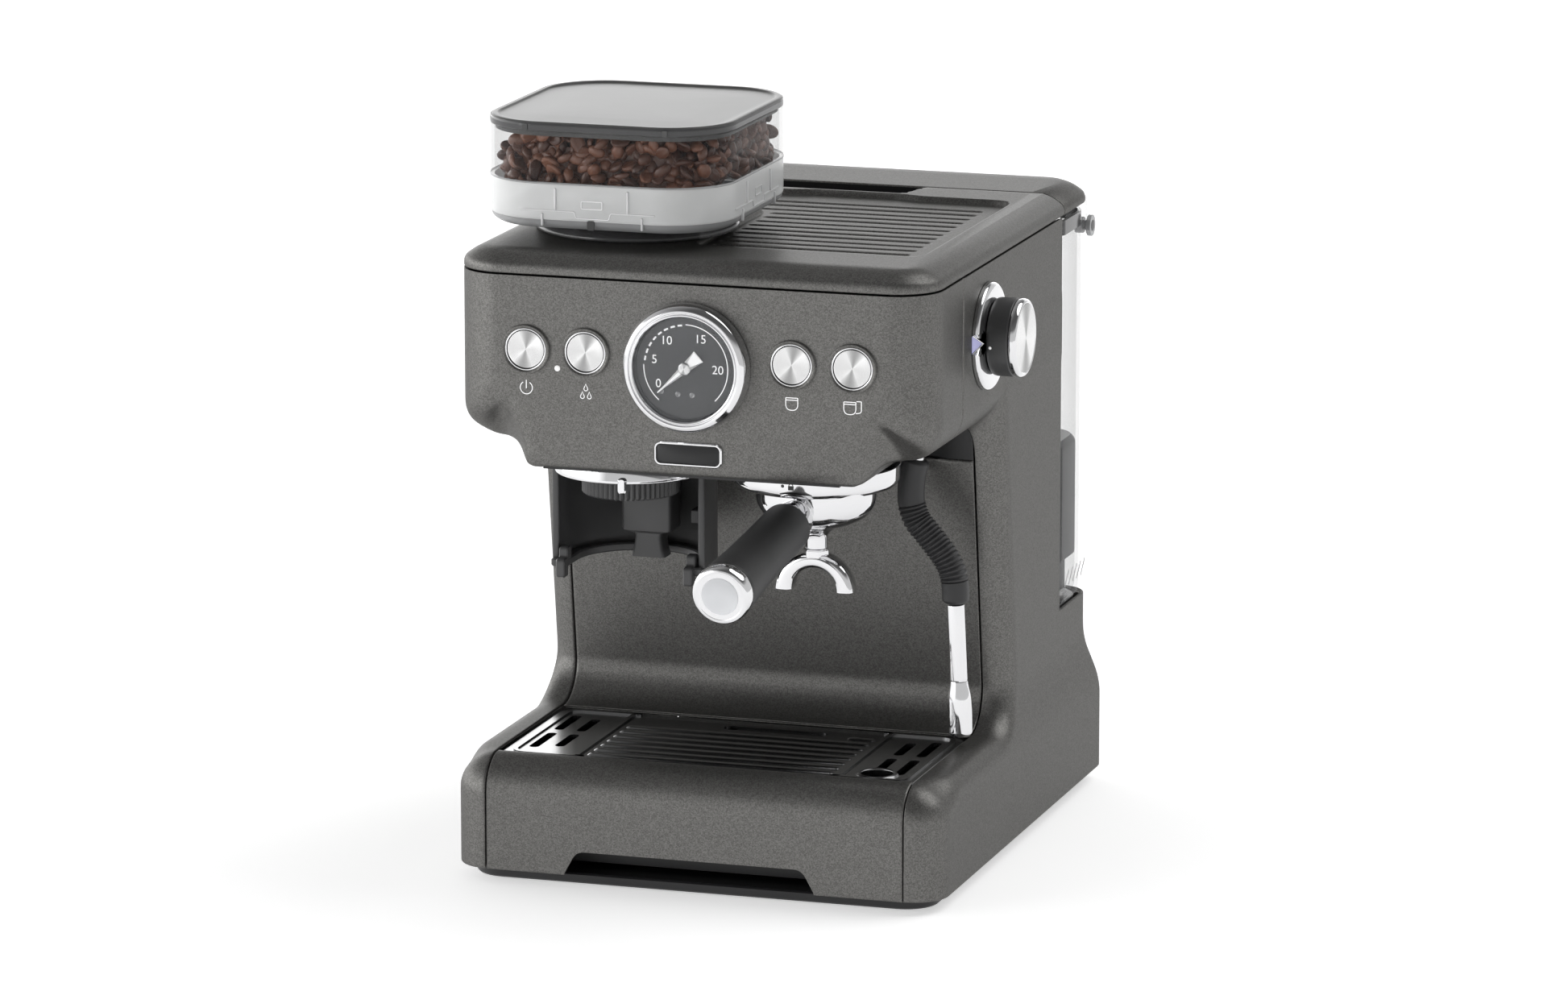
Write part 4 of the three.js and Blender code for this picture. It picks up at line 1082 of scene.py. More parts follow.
def build_tank():
    """Clear tub, its lid pins, band, hatching and the filter inside."""
    outside = soften([(3, TANK_BOTTOM_Z), (0, 125.5), (0, 361.4), (0.6, TANK_RIM_Z)], [0, 2.4, 0.4, 0])
    inside = soften([(1.9, TANK_RIM_Z), (2.5, 361.4), (2.5, 128.5), (5.5, 125.5)], [0, 0.4, 2.4, 0])
    tub = loft([tank_loop(inset, z) for inset, z in outside + inside])
    spigot = turned([(4, 112), (8, 112), (8, 123), (4, 123)], (0, 135, 0), segments=48, closed=True)
    pins, hole_shades = [], []
    for side in (-1, 1):
        for r, low, high in ((5, 137, 142.1), (3, 141, 146), (6.5, 144.8, 147.6)):
            a, b = sorted((side * low, side * high))
            pins.append(turned([(0, a), (r, a), (r, b), (0, b)], (0, *LID_PIN), AXIS_X, 0.5, 40))
        # Painted shade: a thin dark disc on each pin's end stands for the shade in its centre hole.
        a, b = sorted((side * 147.3, side * 147.75))
        hole_shades.append(turned([(0, a), (3.4, a), (3.4, b), (0, b)], (0, *LID_PIN), AXIS_X, 0.1, 32))
    piece("tank_tub", *merged(tub, spigot), TANK, "tank", "clear_plastic", ["water_tank"])
    piece("tank_pins", *merged(*pins), FROSTED, "tank", "clear_plastic")
    piece("tank_pin_hole_shades", *merged(*hole_shades), DARK_PRINT, "tank", "dark_plastic")
    profile = [(0.1, 352), (-0.1, 352.2), (-0.1, 360.8), (0.1, 361), (2.2, 361), (2.2, 352), (0.1, 352)]
    band = loft([tank_loop(inset, z) for inset, z in profile], caps=False)
    piece("tank_band", *band, SMOKE_DARK, "tank", "clear_plastic")
    marks = []
    for i in range(5):
        y = 112 + 9 * i
        marks.append(stroke([(y, 134), (y + 9, 143)], 1.4, lambda u, v, h: (TANK_HALF + h, u, v), 0.15))
    piece("tank_hatching", *merged(*marks), FROSTED, "tank", "clear_plastic")
    housing = rounded_rect(112, 140.6, 114, 164.6, [3, 22, 10, 3])
    riser = rounded_rect(112, 134, 128, 156, [3, 10, 10, 3])
    levels = soften([(1, 148), (0, 149), (0, 219), (3, 222)], [0, 0.5, 2.5, 0])
    holder = merged(slab(housing, levels, on_z), slab(riser, edged(126, 149), on_z))
    piece("tank_filter", *holder, PLASTIC, "tank", "dark_plastic", ["tank_intake"])


# ---- Hopper, beans and grinder parts ----
def hopper_loop(inset, z):
    """Rounded square outline of the hopper, moved inwards by inset."""
    h = HOPPER
    outline = rounded_rect(h["x0"] + inset, h["x1"] - inset, h["y0"] + inset, h["y1"] - inset,
                           HOPPER_R - inset, 14)
    return [(x, y, z) for x, y in outline]


def hopper_levels(points, radius, steps=5):
    """Hopper outlines along a rounded (inset, height) line."""
    return [hopper_loop(inset, z) for inset, z in soften(points, radius, steps=steps)]


def hopper_marks(front):
    """Moulded ribs, latch and step line on the front of the hopper; front(u, v, h) places them."""
    ribs = []
    for x, z0, z1 in ((-88.6, 399, 412), (-44.4, 399, 412), (-96.6, 389.6, 397), (-35.8, 389.6, 397)):
        outline = rounded_rect(x - 0.6, x + 0.6, z0, z1, 0.5, 4)
        ribs.append(slab(outline, [(0, -0.6), (0, 0.5), (0.3, 0.9)], front))
    step = soften([(-110, 398.6), (-77, 398.6), (-76, 394.8), (-56, 394.8), (-55, 398.6), (-28, 398.6)], 1.0)
    ribs.append(stroke(step, 0.5, front, 0.4))
    ribs.append(stroke(rounded_rect(-72.6, -60, 400.6, 405, 0.6, 3), 0.5, front, 0.4, closed=True))
    return merged(*ribs)


def build_hopper():
    """Hopper body, its marks and lid, and the smoked seat that it stands on."""
    base = [(34, 386), (16, 386), (5, 387.6), (1.2, 390.4), (0.4, 393), (3, 393), (10, 389.4),
            (34, 389.4), (34, 386)]
    base_loops = hopper_levels(base, [0, 3, 4, 2, 0, 0.4, 2, 0, 0])
    piece("hopper_base", *loft(base_loops, caps=False), FROSTED, "hopper", "clear_plastic", ["hopper_body"])
    seam = HOPPER_SEAM_Z
    bowl = [(0.4, 393.1), (0, 394), (0, seam - 0.6), (0.5, seam), (2.4, seam), (2.6, seam - 1),
            (2.6, 394.4), (0.4, 393.1)]
    bowl_loops = hopper_levels(bowl, [0, 0.5, 0.4, 0.3, 0.3, 0.4, 0, 0])
    piece("hopper_bowl", *loft(bowl_loops, caps=False), BOWL, "hopper", "clear_plastic")
    wall = hopper_levels([(0.7, seam + 0.1), (0, seam + 0.8), (0, HOPPER_TOP_Z)], [0, 0.5, 0])
    wall += hopper_levels([(2.4, HOPPER_TOP_Z), (2.4, seam + 0.1), (0.7, seam + 0.1)], 0)
    piece("hopper_wall", *loft(wall, caps=False), CLEAR, "hopper", "clear_plastic")
    shelf = hopper_levels([(0.1, seam - 0.5), (-0.3, seam - 0.2), (-0.3, seam + 0.4), (0.1, seam + 0.8)], 0)
    piece("hopper_shelf_line", *loft(shelf, caps=False), FROSTED, "hopper", "clear_plastic")

    front = HOPPER["y0"]
    right = HOPPER["x1"]

    def on_hopper_front(u, v, h):
        return (u, front - h, v)

    def on_hopper_right(u, v, h):
        return (right + h, u - 10, v)

    for side, place in (("front", on_hopper_front), ("right", on_hopper_right)):
        # The marks are clear plastic, drawn light grey as a painted highlight.
        piece(f"hopper_ribs_{side}", *hopper_marks(place), RIB_HIGHLIGHT, "hopper", "clear_plastic")
    lock = slab(rounded_rect(-69.2, -64.8, 388.2, 393.8, 1.1, 4), [(0, -0.2), (0, 0.25)], on_hopper_front)
    piece("hopper_lock_mark", *lock, DARK_PRINT, "hopper", "dark_plastic")

    lid = [(3.2, 441.5), (3.2, 444.65), (0.4, 444.65), (0, 445.1), (0, 448.4), (1.3, 450), (4.6, 450),
           (5.6, 448.9), (9, 448.8), (30, 449.2), (60, 449.4)]
    levels = hopper_levels(lid, [0, 0, 0.2, 0.3, 1.4, 1.2, 0.8, 0.9, 1, 2, 0])
    piece("hopper_cover_shell", *loft(levels), SMOKE, "hopper_cover", "smoked_plastic", ["hopper_lid"])
    band = hopper_levels([(0.3, 444.8), (-0.08, 445.2), (-0.08, 448.2), (0.35, 449.2)], [0, 0.3, 0.4, 0])
    piece("hopper_cover_band", *loft(band, caps=False), SMOKE_DARK, "hopper_cover", "smoked_plastic")
    notches = []
    for x in (-107, -22):
        outline = rounded_rect(x - 1.6, x + 1.6, 444.9, 448.4, 0.6, 3)
        notches.append(slab(outline, [(0, -0.3), (0, 0.25)], on_hopper_front))
    piece("hopper_cover_notches", *merged(*notches), SMOKE, "hopper_cover", "smoked_plastic")

    collar = [(36, 370), (39, 370), (39, 377.85), (60, 377.85), (60, 380), (56, 385.6), (36, 385.6)]
    seat = turned(collar, BURR, radius=1.2, segments=96, closed=True)
    piece("hopper_seat", *seat, SMOKE_DARK, "machine", "black_plastic", ["hopper_collar"])


BEAN_FLOOR_Z = 411
LAYER_PITCH = 4.8
BEAN_SIZE = (5.2, 6.2)


def heap_height(x, y):
    """Top of the beans: level at the rear, slumping towards the front left corner."""
    slump = smoothstep(-108, -142, x) * smoothstep(30, -60, y)
    return 438.5 - 14 * slump + 1.8 * math.sin(x * 0.11) * math.cos(y * 0.09)


def bean(at, size, turn):
    """A bean: a flattened ball with a furrow along its flat side."""
    long_count, ring_count = 10, 9
    verts = []
    for i in range(ring_count):
        a = math.pi * (i + 0.5) / ring_count
        for k in range(long_count):
            b = 2 * math.pi * k / long_count
            x, r = math.cos(a), math.sin(a)
            y, z = r * math.cos(b), r * math.sin(b)
            flat = 0.62 if z > 0 else 0.86
            furrow = 0.22 * r if z > 0 and abs(y) < 0.35 * r else 0
            point = Vector((x, y * 0.72, z * flat * 0.72 - furrow)) * size
            verts.append(Vector(at) + turn @ point)
    faces = []
    for i in range(ring_count - 1):
        for k in range(long_count):
            j = (k + 1) % long_count
            a, b = i * long_count, (i + 1) * long_count
            faces.append((a + k, b + k, b + j, a + j))
    faces.append(tuple(range(long_count)))
    faces.append(tuple(reversed(range((ring_count - 1) * long_count, ring_count * long_count))))
    return verts, faces


def build_beans():
    """Beans in layers: the whole top layer, and below it only those that show through the wall."""
    rng = random.Random(7)
    inset = 8.2
    pitch = 6.8
    jitter = 1.4
    x0, x1 = HOPPER["x0"] + inset, HOPPER["x1"] - inset
    y0, y1 = HOPPER["y0"] + inset, HOPPER["y1"] - inset
    beans = []
    for layer in range(6):
        for i in range(int((x1 - x0) / pitch) + 1):
            for j in range(int((y1 - y0) / pitch) + 1):
                x = x0 + pitch * (i + 0.5 * (layer % 2)) + rng.uniform(-jitter, jitter)
                y = y0 + pitch * j + rng.uniform(-jitter, jitter)
                rim = box_distance(x, y, x0, x1, y0, y1, HOPPER_R - inset)
                z = heap_height(x, y) - LAYER_PITCH * layer
                buried = layer > 0 and rim < -8
                if rim > 0 or buried or z < BEAN_FLOOR_Z:
                    continue
                turn = Quaternion([rng.gauss(0, 1) for _ in range(4)]).normalized()
                beans.append(bean((x, y, z + rng.uniform(-1, 1)), rng.uniform(*BEAN_SIZE), turn))
    piece("beans", *merged(*beans), BEAN, "hopper", "dark_plastic", merge=False, sharp=80)
    core_inset = 13
    loops = [hopper_loop(core_inset, BEAN_FLOOR_Z + 1)]
    for t in (0, 0.3, 0.6, 0.9):
        ring = []
        for x, y, _ in hopper_loop(core_inset, 0):
            u = x * (1 - t) + BURR.x * t
            v = y * (1 - t) + BURR.y * t
            ring.append((u, v, heap_height(u, v) - 6))
        loops.append(ring)
    piece("bean_core", *loft(loops), BEAN, "hopper", "dark_plastic")


def build_grinder_front():
    """Dosing ring, grind dial and chute under the grinder."""
    at = (GRIND.x, GRIND.y, 0)
    rim = [(30, 240), (43.4, 239.3), (44.6, 239.7), (44.6, 241.2), (42.8, 250.4), (30, 250.4)]
    dish = turned(rim, at, radius=0.7, segments=96, closed=True)
    piece("dosing_dish", *dish, CHROME, "machine", "chrome", ["dosing_ring"])
    lug = slab(rounded_rect(GRIND.x + 7, GRIND.x + 12, 234, 243.5, 2, 5), edged(35.6, 45.6, 0.8),
               lambda u, v, h: (u, GRIND.y - h, v))
    piece("dosing_lug", *lug, CHROME, "machine", "chrome")

    teeth, bore = [], []
    count = 54
    for i in range(count * 4):
        angle = 2 * math.pi * i / (count * 4)
        r = (27.6, 28.5, 28.9, 28.5)[i % 4]
        teeth.append((GRIND.x + r * math.cos(angle), GRIND.y + r * math.sin(angle)))
        bore.append((GRIND.x + 24 * math.cos(angle), GRIND.y + 24 * math.sin(angle)))
    loops = []
    for outline, inset, z in ((bore, 0, 226), (teeth, 1.2, 226), (teeth, 0, 227.2), (teeth, 0, 237.4),
                              (teeth, 1.2, 238.6), (bore, 0, 238.6), (bore, 0, 226)):
        loops.append([(x, y, z) for x, y in offset(outline, inset)])
    sleeve = turned([(24, 238), (27, 238), (27, 256), (24, 256)], at, closed=True)
    grip = merged(loft(loops, caps=False), sleeve)
    piece("grind_grip", *grip, PLASTIC, "dial", "dark_plastic", ["grind_dial"], sharp=30)

    cx, cy = GRIND.x + 1, -78

    def level(half, deep, z, r=2.4):
        return [(x, y, z) for x, y in rounded_rect(cx - half, cx + half, cy - deep, cy + deep, r, 6)]

    outside = [level(10.4, 7.2, 181), level(10.4, 7.2, 181.6), level(9.2, 7, 186), level(8.1, 7, 193),
               level(8.6, 7.2, 195.4), level(14.6, 9.6, 197.2), level(15.5, 10, 198.6),
               level(15.5, 10, 225.5)]
    inside = [level(13.5, 8, 225.5), level(13.5, 8, 200), level(6, 5, 197, 1.6), level(8.2, 5.2, 181, 1.6)]
    tongue = block(cx - 6, cx + 6, cy + 9, -58.6, 202, 220)
    funnel = merged(loft(outside + inside + [outside[0]], caps=False), tongue)
    piece("chute", *funnel, PLASTIC, "machine", "dark_plastic", ["dosing_chute"], sharp=34)


def horseshoe(x, outer, inner, front, r=1.2):
    """A wall open to the front: straight arms and a half-round back."""
    centre_y = -100.0
    outside = [(x + outer, front)] + arc(x, centre_y, outer, 0, 180, 48) + [(x - outer, front)]
    back = list(reversed(arc(x, centre_y, inner, 0, 180, 48)))
    inside = [(x - inner, front)] + back + [(x + inner, front)]
    count = len(outside)
    radii = [r] + [0] * (count - 2) + [r, r] + [0] * (count - 2) + [r]
    return soften(outside + inside, radii, closed=True)


def build_cradle():
    """The fork that holds a portafilter under the grinder, and its press key."""
    x = GRIND.x
    wall = slab(horseshoe(x, 47, 43, -118), edged(180, 238.4, 0.7), on_z)
    rails = slab(horseshoe(x, 46.9, 36.5, -122, 2.4), edged(180.05, 185, 0.9), on_z)
    corners = [(-127, 174.5), (-119, 174.5), (-119, 180.4), (-113, 180.4), (-113, 192), (-121, 192),
               (-121, 186), (-127, 186)]
    outline = soften(corners, [2.5, 2, 1.5, 1.5, 2, 3, 1.5, 3], closed=True)
    hooks = []
    for side in (-1, 1):
        a, b = sorted((x + side * 36.6, x + side * 42))
        hooks.append(slab(outline, edged(a, b, 0.7), on_side))
    hanger = block(x - 30, x + 30, -57, -53, 236, 250.4)
    fork = merged(wall, rails, *hooks, hanger)
    piece("cradle_fork", *fork, PLASTIC, "machine", "dark_plastic", ["grinder_cradle"], sharp=30)
    stem = block(x + 26, x + 33, -80, -60, 202, 210)
    paddle = slab(rounded_rect(x + 26, x + 33, 198, 214, 2, 5), edged(-60.5, -57, 0.6),
                  lambda u, v, h: (u, h, v))
    piece("cradle_press_key", *merged(stem, paddle), RUBBER, "cradle_key", "rubber", ["cradle_switch"])


# ---- Brew group and portafilter ----
HANDLE_AXIS = Vector((0, -1, 0))
HANDLE_AXIS.rotate(Quaternion(AXIS_X, math.radians(8.9)))
HANDLE_AXIS.rotate(Quaternion(AXIS_Z, -math.radians(2.2)))
HANDLE_START = Vector((54, -150, 224.5))


def build_group():
    """Chrome collar with two gates for the ears of the portafilter, and its lock marks."""
    top = HEAD_BOTTOM_Z - 0.4
    profile = [(36.2, 237.5), (45.4, 237.5), (COLLAR_R, 240.9), (COLLAR_R, top), (39.6, top), (39.6, 241.2),
               (36.2, 241.2)]
    radii = [0.4, 2, 2.2, 0.3, 0.3, 0.3, 0.3]
    ring = turned(profile, (GROUP.x, GROUP.y, 0), radius=radii, segments=128, closed=True)
    made = piece("group_ring", *ring, CHROME, "machine", "chrome", ["group_collar"])
    gates = []
    for degrees in (-45, 135):
        a = math.radians(degrees)
        outline = arc(GROUP.x + 37 * math.cos(a), GROUP.y + 37 * math.sin(a), 11, 0, 354, 59)
        gates.append(slab(outline, [(0, 230), (0, 241.9)], on_z))
    cut_out(made, merged(*gates))

    marks = []
    for degrees, kind in ((-96, "dot"), (-90, "closed")):
        a = math.radians(degrees)
        out = Vector((math.cos(a), math.sin(a), 0))
        side = Vector((-out.y, out.x, 0))
        base = Vector((GROUP.x, GROUP.y, 245.6)) + out * (COLLAR_R - 0.05)

        def on_collar(u, v, h, base=base, side=side, out=out):
            bend = (side * u).length_squared / (2 * COLLAR_R)
            return tuple(base + side * u + AXIS_Z * v + out * (h - bend))

        if kind == "dot":
            marks.append(slab(arc(0, 0, 1.0, 0, 345, 23), [(0, -0.3), (0, 0.1)], on_collar))
            continue
        marks.append(slab(rounded_rect(-1.7, 1.7, -2.2, 0.4, 0.3, 3), [(0, -0.3), (0, 0.1)], on_collar))
        marks.append(stroke(arc(0, 0.4, 1.2, 0, 180, 10), 0.5, on_collar, 0.1))
    piece("group_marks", *merged(*marks), DARK_PRINT, "machine", "dark_plastic")


def build_portafilter():
    """Bowl with ears and neck, handle with its cap, and the spout."""
    at = (GROUP.x, GROUP.y, 0)
    profile = [(3.4, 199.6), (6.6, 199.6), (6.6, 208), (12, 212), (25, 216.3), (32.5, 221), (35.4, 228),
               (35.4, 245.6), (31.6, 245.6), (31.6, 225), (30, 222), (3.4, 222)]
    radii = [0.3, 0.4, 3, 4, 6, 6, 5, 0.5, 0.5, 1.5, 1.5, 0.3]
    bowl = turned(profile, at, radius=radii, segments=128, closed=True)
    ears = []
    for side in (-1, 1):
        outline = [(GROUP.x + side * 34.6, GROUP.y - 9), (GROUP.x + side * 37.9, GROUP.y - 9)]
        for degrees in range(-12, 13, 3):
            a = math.radians(degrees)
            outline.append((GROUP.x + 39 * math.cos(a) * side, GROUP.y + 39 * math.sin(a)))
        outline += [(GROUP.x + side * 37.9, GROUP.y + 9), (GROUP.x + side * 34.6, GROUP.y + 9)]
        ears.append(slab(outline, edged(241.7, 245.2, 0.4), on_z))
    neck_at = HANDLE_START - HANDLE_AXIS * 22
    profile = [(0, 0), (8.5, 0), (8.5, 14), (11.6, 20.5), (12.2, 31.8), (0, 31.8)]
    neck = turned(profile, neck_at, HANDLE_AXIS, [0, 0, 5, 5, 0.5, 0], 72)
    metal = merged(bowl, neck, *ears)
    piece("portafilter_bowl", *metal, CHROME, "portafilter", "chrome", ["portafilter_body"])

    profile = [(0, 10.2), (12.2, 10.2), (14.7, 12.7), (14.9, 40), (15.2, 66), (16.0, 92), (17.2, 114.4),
               (16.6, 116.6), (0, 116.6)]
    grip = turned(profile, HANDLE_START, HANDLE_AXIS, [0, 0.6, 2, 20, 20, 20, 1.5, 0.8, 0], 96)
    piece("handle_grip", *grip, RUBBER, "portafilter", "rubber", ["portafilter_handle"])
    profile = [(0, 117), (17.2, 117), (17.6, 118.5), (17.4, 122), (16.4, 124.8), (14.6, 125.6),
               (13.9, 125.2), (0, 125.2)]
    cap = turned(profile, HANDLE_START, HANDLE_AXIS, [0, 0.3, 1.5, 2, 1.4, 0.8, 0.4, 0], 96)
    piece("handle_cap_ring", *cap, CHROME, "portafilter", "chrome", ["handle_end_cap"])
    disc_at = HANDLE_START + HANDLE_AXIS * 125.15
    face = turned([(0, 0.45), (8, 0.42), (10.8, 0.3), (11.2, 0)], disc_at, HANDLE_AXIS, 0.2, 72)
    piece("handle_cap_disc", *face, PALE, "portafilter", "white")
    build_spout()


def build_spout():
    """Two chrome spouts: a bow under the nut, hollow at both ends."""
    centre = Vector((GROUP.x, GROUP.y, 174.5))
    loops = []

    def section(degrees, half_depth, half_width, radius, middle):
        a = math.radians(degrees)
        out = Vector((math.cos(a), 0, math.sin(a)))
        ring = []
        for u, v in rounded_rect(-half_depth, half_depth, -half_width, half_width, radius, 6):
            ring.append(tuple(centre + out * (middle + u) + AXIS_Y * v))
        return ring

    steps = 44
    bow_r = 18.7
    start, end = 1, 179
    loops.append(section(start + 22, 3.6, 5.4, 2.6, bow_r))
    loops.append(section(start, 4.0, 6.2, 2.8, bow_r))
    for i in range(steps + 1):
        degrees = start + (end - start) * i / steps
        belly = math.sin(math.radians(degrees))
        loops.append(section(degrees, 5.0 - 0.6 * belly, 7.2, 3.6, bow_r - 0.4 * belly))
    loops.append(section(end, 4.0, 6.2, 2.8, bow_r))
    loops.append(section(end - 22, 3.6, 5.4, 2.6, bow_r))
    bow = loft(loops)
    hexagon = []
    for degrees in range(0, 360, 60):
        a = math.radians(degrees)
        hexagon.append((GROUP.x + 8.1 * math.cos(a), GROUP.y + 8.1 * math.sin(a)))
    hexagon = soften(hexagon, 1.2, closed=True)
    nut = slab(hexagon, [(1, 192.5), (0, 193.5), (0, 198.3), (0.8, 199.3)], on_z)
    piece("spout_bow", *merged(bow, nut), CHROME, "portafilter", "chrome", ["double_spout"], sharp=34)


# ---- Front controls ----
DIAL_PRINT = 4.72
SCALE_R = 25.3


def dial_point(degrees, r):
    """A point on the dial in x and z."""
    return r * math.cos(math.radians(degrees)), GAUGE_Z + r * math.sin(math.radians(degrees))


def label(name, text, x, z, size, height, material, body, slot):
    """A short number in the default font, standing on the front."""
    curve = bpy.data.curves.new(name, "FONT")
    curve.body = text
    curve.size = size
    curve.align_x = "CENTER"
    curve.align_y = "CENTER"
    curve.extrude = 0.06
    curve.resolution_u = 4
    made = placed(name, curve)
    mesh = baked_mesh(made)
    bpy.data.objects.remove(made)
    points = [(v.co.x + x, HEAD_FRONT - height - v.co.z, v.co.y + z) for v in mesh.vertices]
    faces = [tuple(p.vertices) for p in mesh.polygons]
    bpy.data.meshes.remove(mesh)
    return piece(name, points, faces, material, body, slot)


def build_gauge():
    """Pressure gauge: case, dial with numbers only, needle and lens."""
    at = Vector((0, HEAD_FRONT, GAUGE_Z))
    case = [(0, -6), (33, -6), (33, 0.35), (37.3, 0.35), (37.75, 1), (37.75, 6.2), (36.4, 9.4),
            (34.2, 11), (33.1, 11), (32.8, 9.6), (32.1, 9.6), (31.8, 10.8), (30.9, 10.6), (30.4, 9.4),
            (30.3, 3.4), (0, 3.4)]
    radii = [0, 0.3, 0, 0.2, 0.4, 2.5, 2.2, 0.5, 0.3, 0.2, 0.2, 0.3, 0.6, 0.6, 0.3, 0]
    piece("gauge_bezel", *turned(case, at, FORWARD, radii, 128), CHROME, "machine", "chrome", ["gauge_case"])
    face = turned([(0, 4.5), (18, 4.6), (29.2, 4.8), (30, 4.4), (30, 3.8), (0, 3.8)], at, FORWARD, 0.3, 96)
    piece("gauge_face", *face, DIAL, "machine", "black_plastic", ["gauge_dial"])

    def on_dial(u, v, h):
        return (u, HEAD_FRONT - DIAL_PRINT - h, v)

    ring = [dial_point(-46 + 136 * i / 60, SCALE_R) for i in range(61)]
    marks = [stroke(ring, 0.6, on_dial)]
    for i in range(8):
        a = 98 + 10.2 * i
        marks.append(stroke([dial_point(a + 3.1 * k, 24.9) for k in (-1, -0.3, 0.3, 1)], 1.1, on_dial))
    low = [dial_point(178 + 52 * i / 24, SCALE_R) for i in range(25)]
    marks.append(stroke(low, 0.6, on_dial))
    piece("gauge_scale", *merged(*marks), WHITE, "machine", "white")
    for number, degrees in ((0, 211), (5, 168), (10, 127), (15, 62.5), (20, -1)):
        x, z = dial_point(degrees, 19.3)
        label(f"gauge_number_{number}", str(number), x, z, 7.2, 4.75, WHITE, "machine", "white")
    screws = []
    screw = [(0, 4.6), (0.5, 5.0), (1.2, 5.25), (1.75, 5.0), (1.8, 4.5)]
    for x, z in ((-4.7, -15.5), (3.9, -15.7), (-14.8, -14.2)):
        screws.append(turned(screw, at + Vector((x, 0, z)), FORWARD, 0.2, 28))
    piece("gauge_screws", *merged(*screws), STEEL, "machine", "dark_steel")

    zero = math.radians(222)
    along = Vector((math.cos(zero), math.sin(zero)))
    across = Vector((-along.y, along.x))
    outline = [(-11.2, -4.2), (-3, -1.6), (22.3, -0.35), (22.3, 0.35), (-3, 1.6), (-11.2, 4.2)]
    points = [along * r + across * w for r, w in soften(outline, 0.4, closed=True)]
    blade = slab([(p.x, GAUGE_Z + p.y) for p in points], edged(6.2, 7.2, 0.25), on_front)
    hub = turned([(0, 5.4), (3.6, 5.4), (3.8, 6), (3.8, 7.9), (3.1, 8.4), (0, 8.5)], at, FORWARD, 0.4, 48)
    piece("needle_blade", *blade, WHITE, "needle", "white", ["gauge_needle"])
    piece("needle_hub", *hub, BRUSHED_PAINTED_FAN_Y, "needle", "brushed_metal", origin=at)
    profile = [(0, 9.9), (12, 9.8), (24, 9.5), (29.6, 9.1), (30.2, 8.7), (29.8, 8.5), (0, 9.3)]
    lens = turned(profile, at, FORWARD, 0.4, 96)
    piece("gauge_window", *lens, LENS, "machine", "clear_plastic", ["gauge_lens"])


CUP_HALF = 3.6


def drop(cx, cz, size):
    """Outline of a water drop."""
    return [(cx, cz + size * 1.6)] + arc(cx, cz - size * 0.2, size * 0.72, 35, -215, 20)


def cup(cx, cz):
    """Outline of a cup: straight sides, a round bottom and a line under its rim."""
    left, right, top, bottom = cx - CUP_HALF, cx + CUP_HALF, cz + CUP_HALF, cz - CUP_HALF
    bowl = soften([(left, top), (right, top), (right, bottom), (left, bottom)],
                  [0.3, 0.3, CUP_HALF * 0.95, CUP_HALF * 0.95], closed=True, steps=8)
    return [stroke(bowl, LINE, on_front, closed=True),
            stroke([(left, cz + 2.3), (right, cz + 2.3)], LINE, on_front)]


def build_icons():
    """Line pictures above the buttons: power, rinse, one cup, two cups."""
    marks = []
    x = BUTTONS["power"]
    marks.append(stroke(arc(x, ICON_Z, 3.7, 122, 418, 28), LINE, on_front))
    marks.append(stroke([(x, ICON_Z - 0.4), (x, ICON_Z + 4.6)], LINE, on_front))
    x = BUTTONS["rinse"]
    for dx, dz in ((-2.1, -2.9), (0, 1.7), (2.1, -2.9)):
        marks.append(stroke(drop(x + dx, ICON_Z + dz, 1.6), 0.45, on_front, closed=True))
    marks += cup(BUTTONS["one_cup"], ICON_Z)
    x = BUTTONS["two_cups"]
    marks += cup(x - 1.6, ICON_Z - 0.4)
    behind = [(x + 2.4, ICON_Z + 3.8), (x + 5.3, ICON_Z + 3.8), (x + 5.3, ICON_Z - 2.8),
              (x + 2.0, ICON_Z - 3.2)]
    marks.append(stroke(soften(behind, [0, 0.3, 3, 0], steps=8), LINE, on_front))
    piece("button_icons", *merged(*marks), WHITE, "machine", "white")


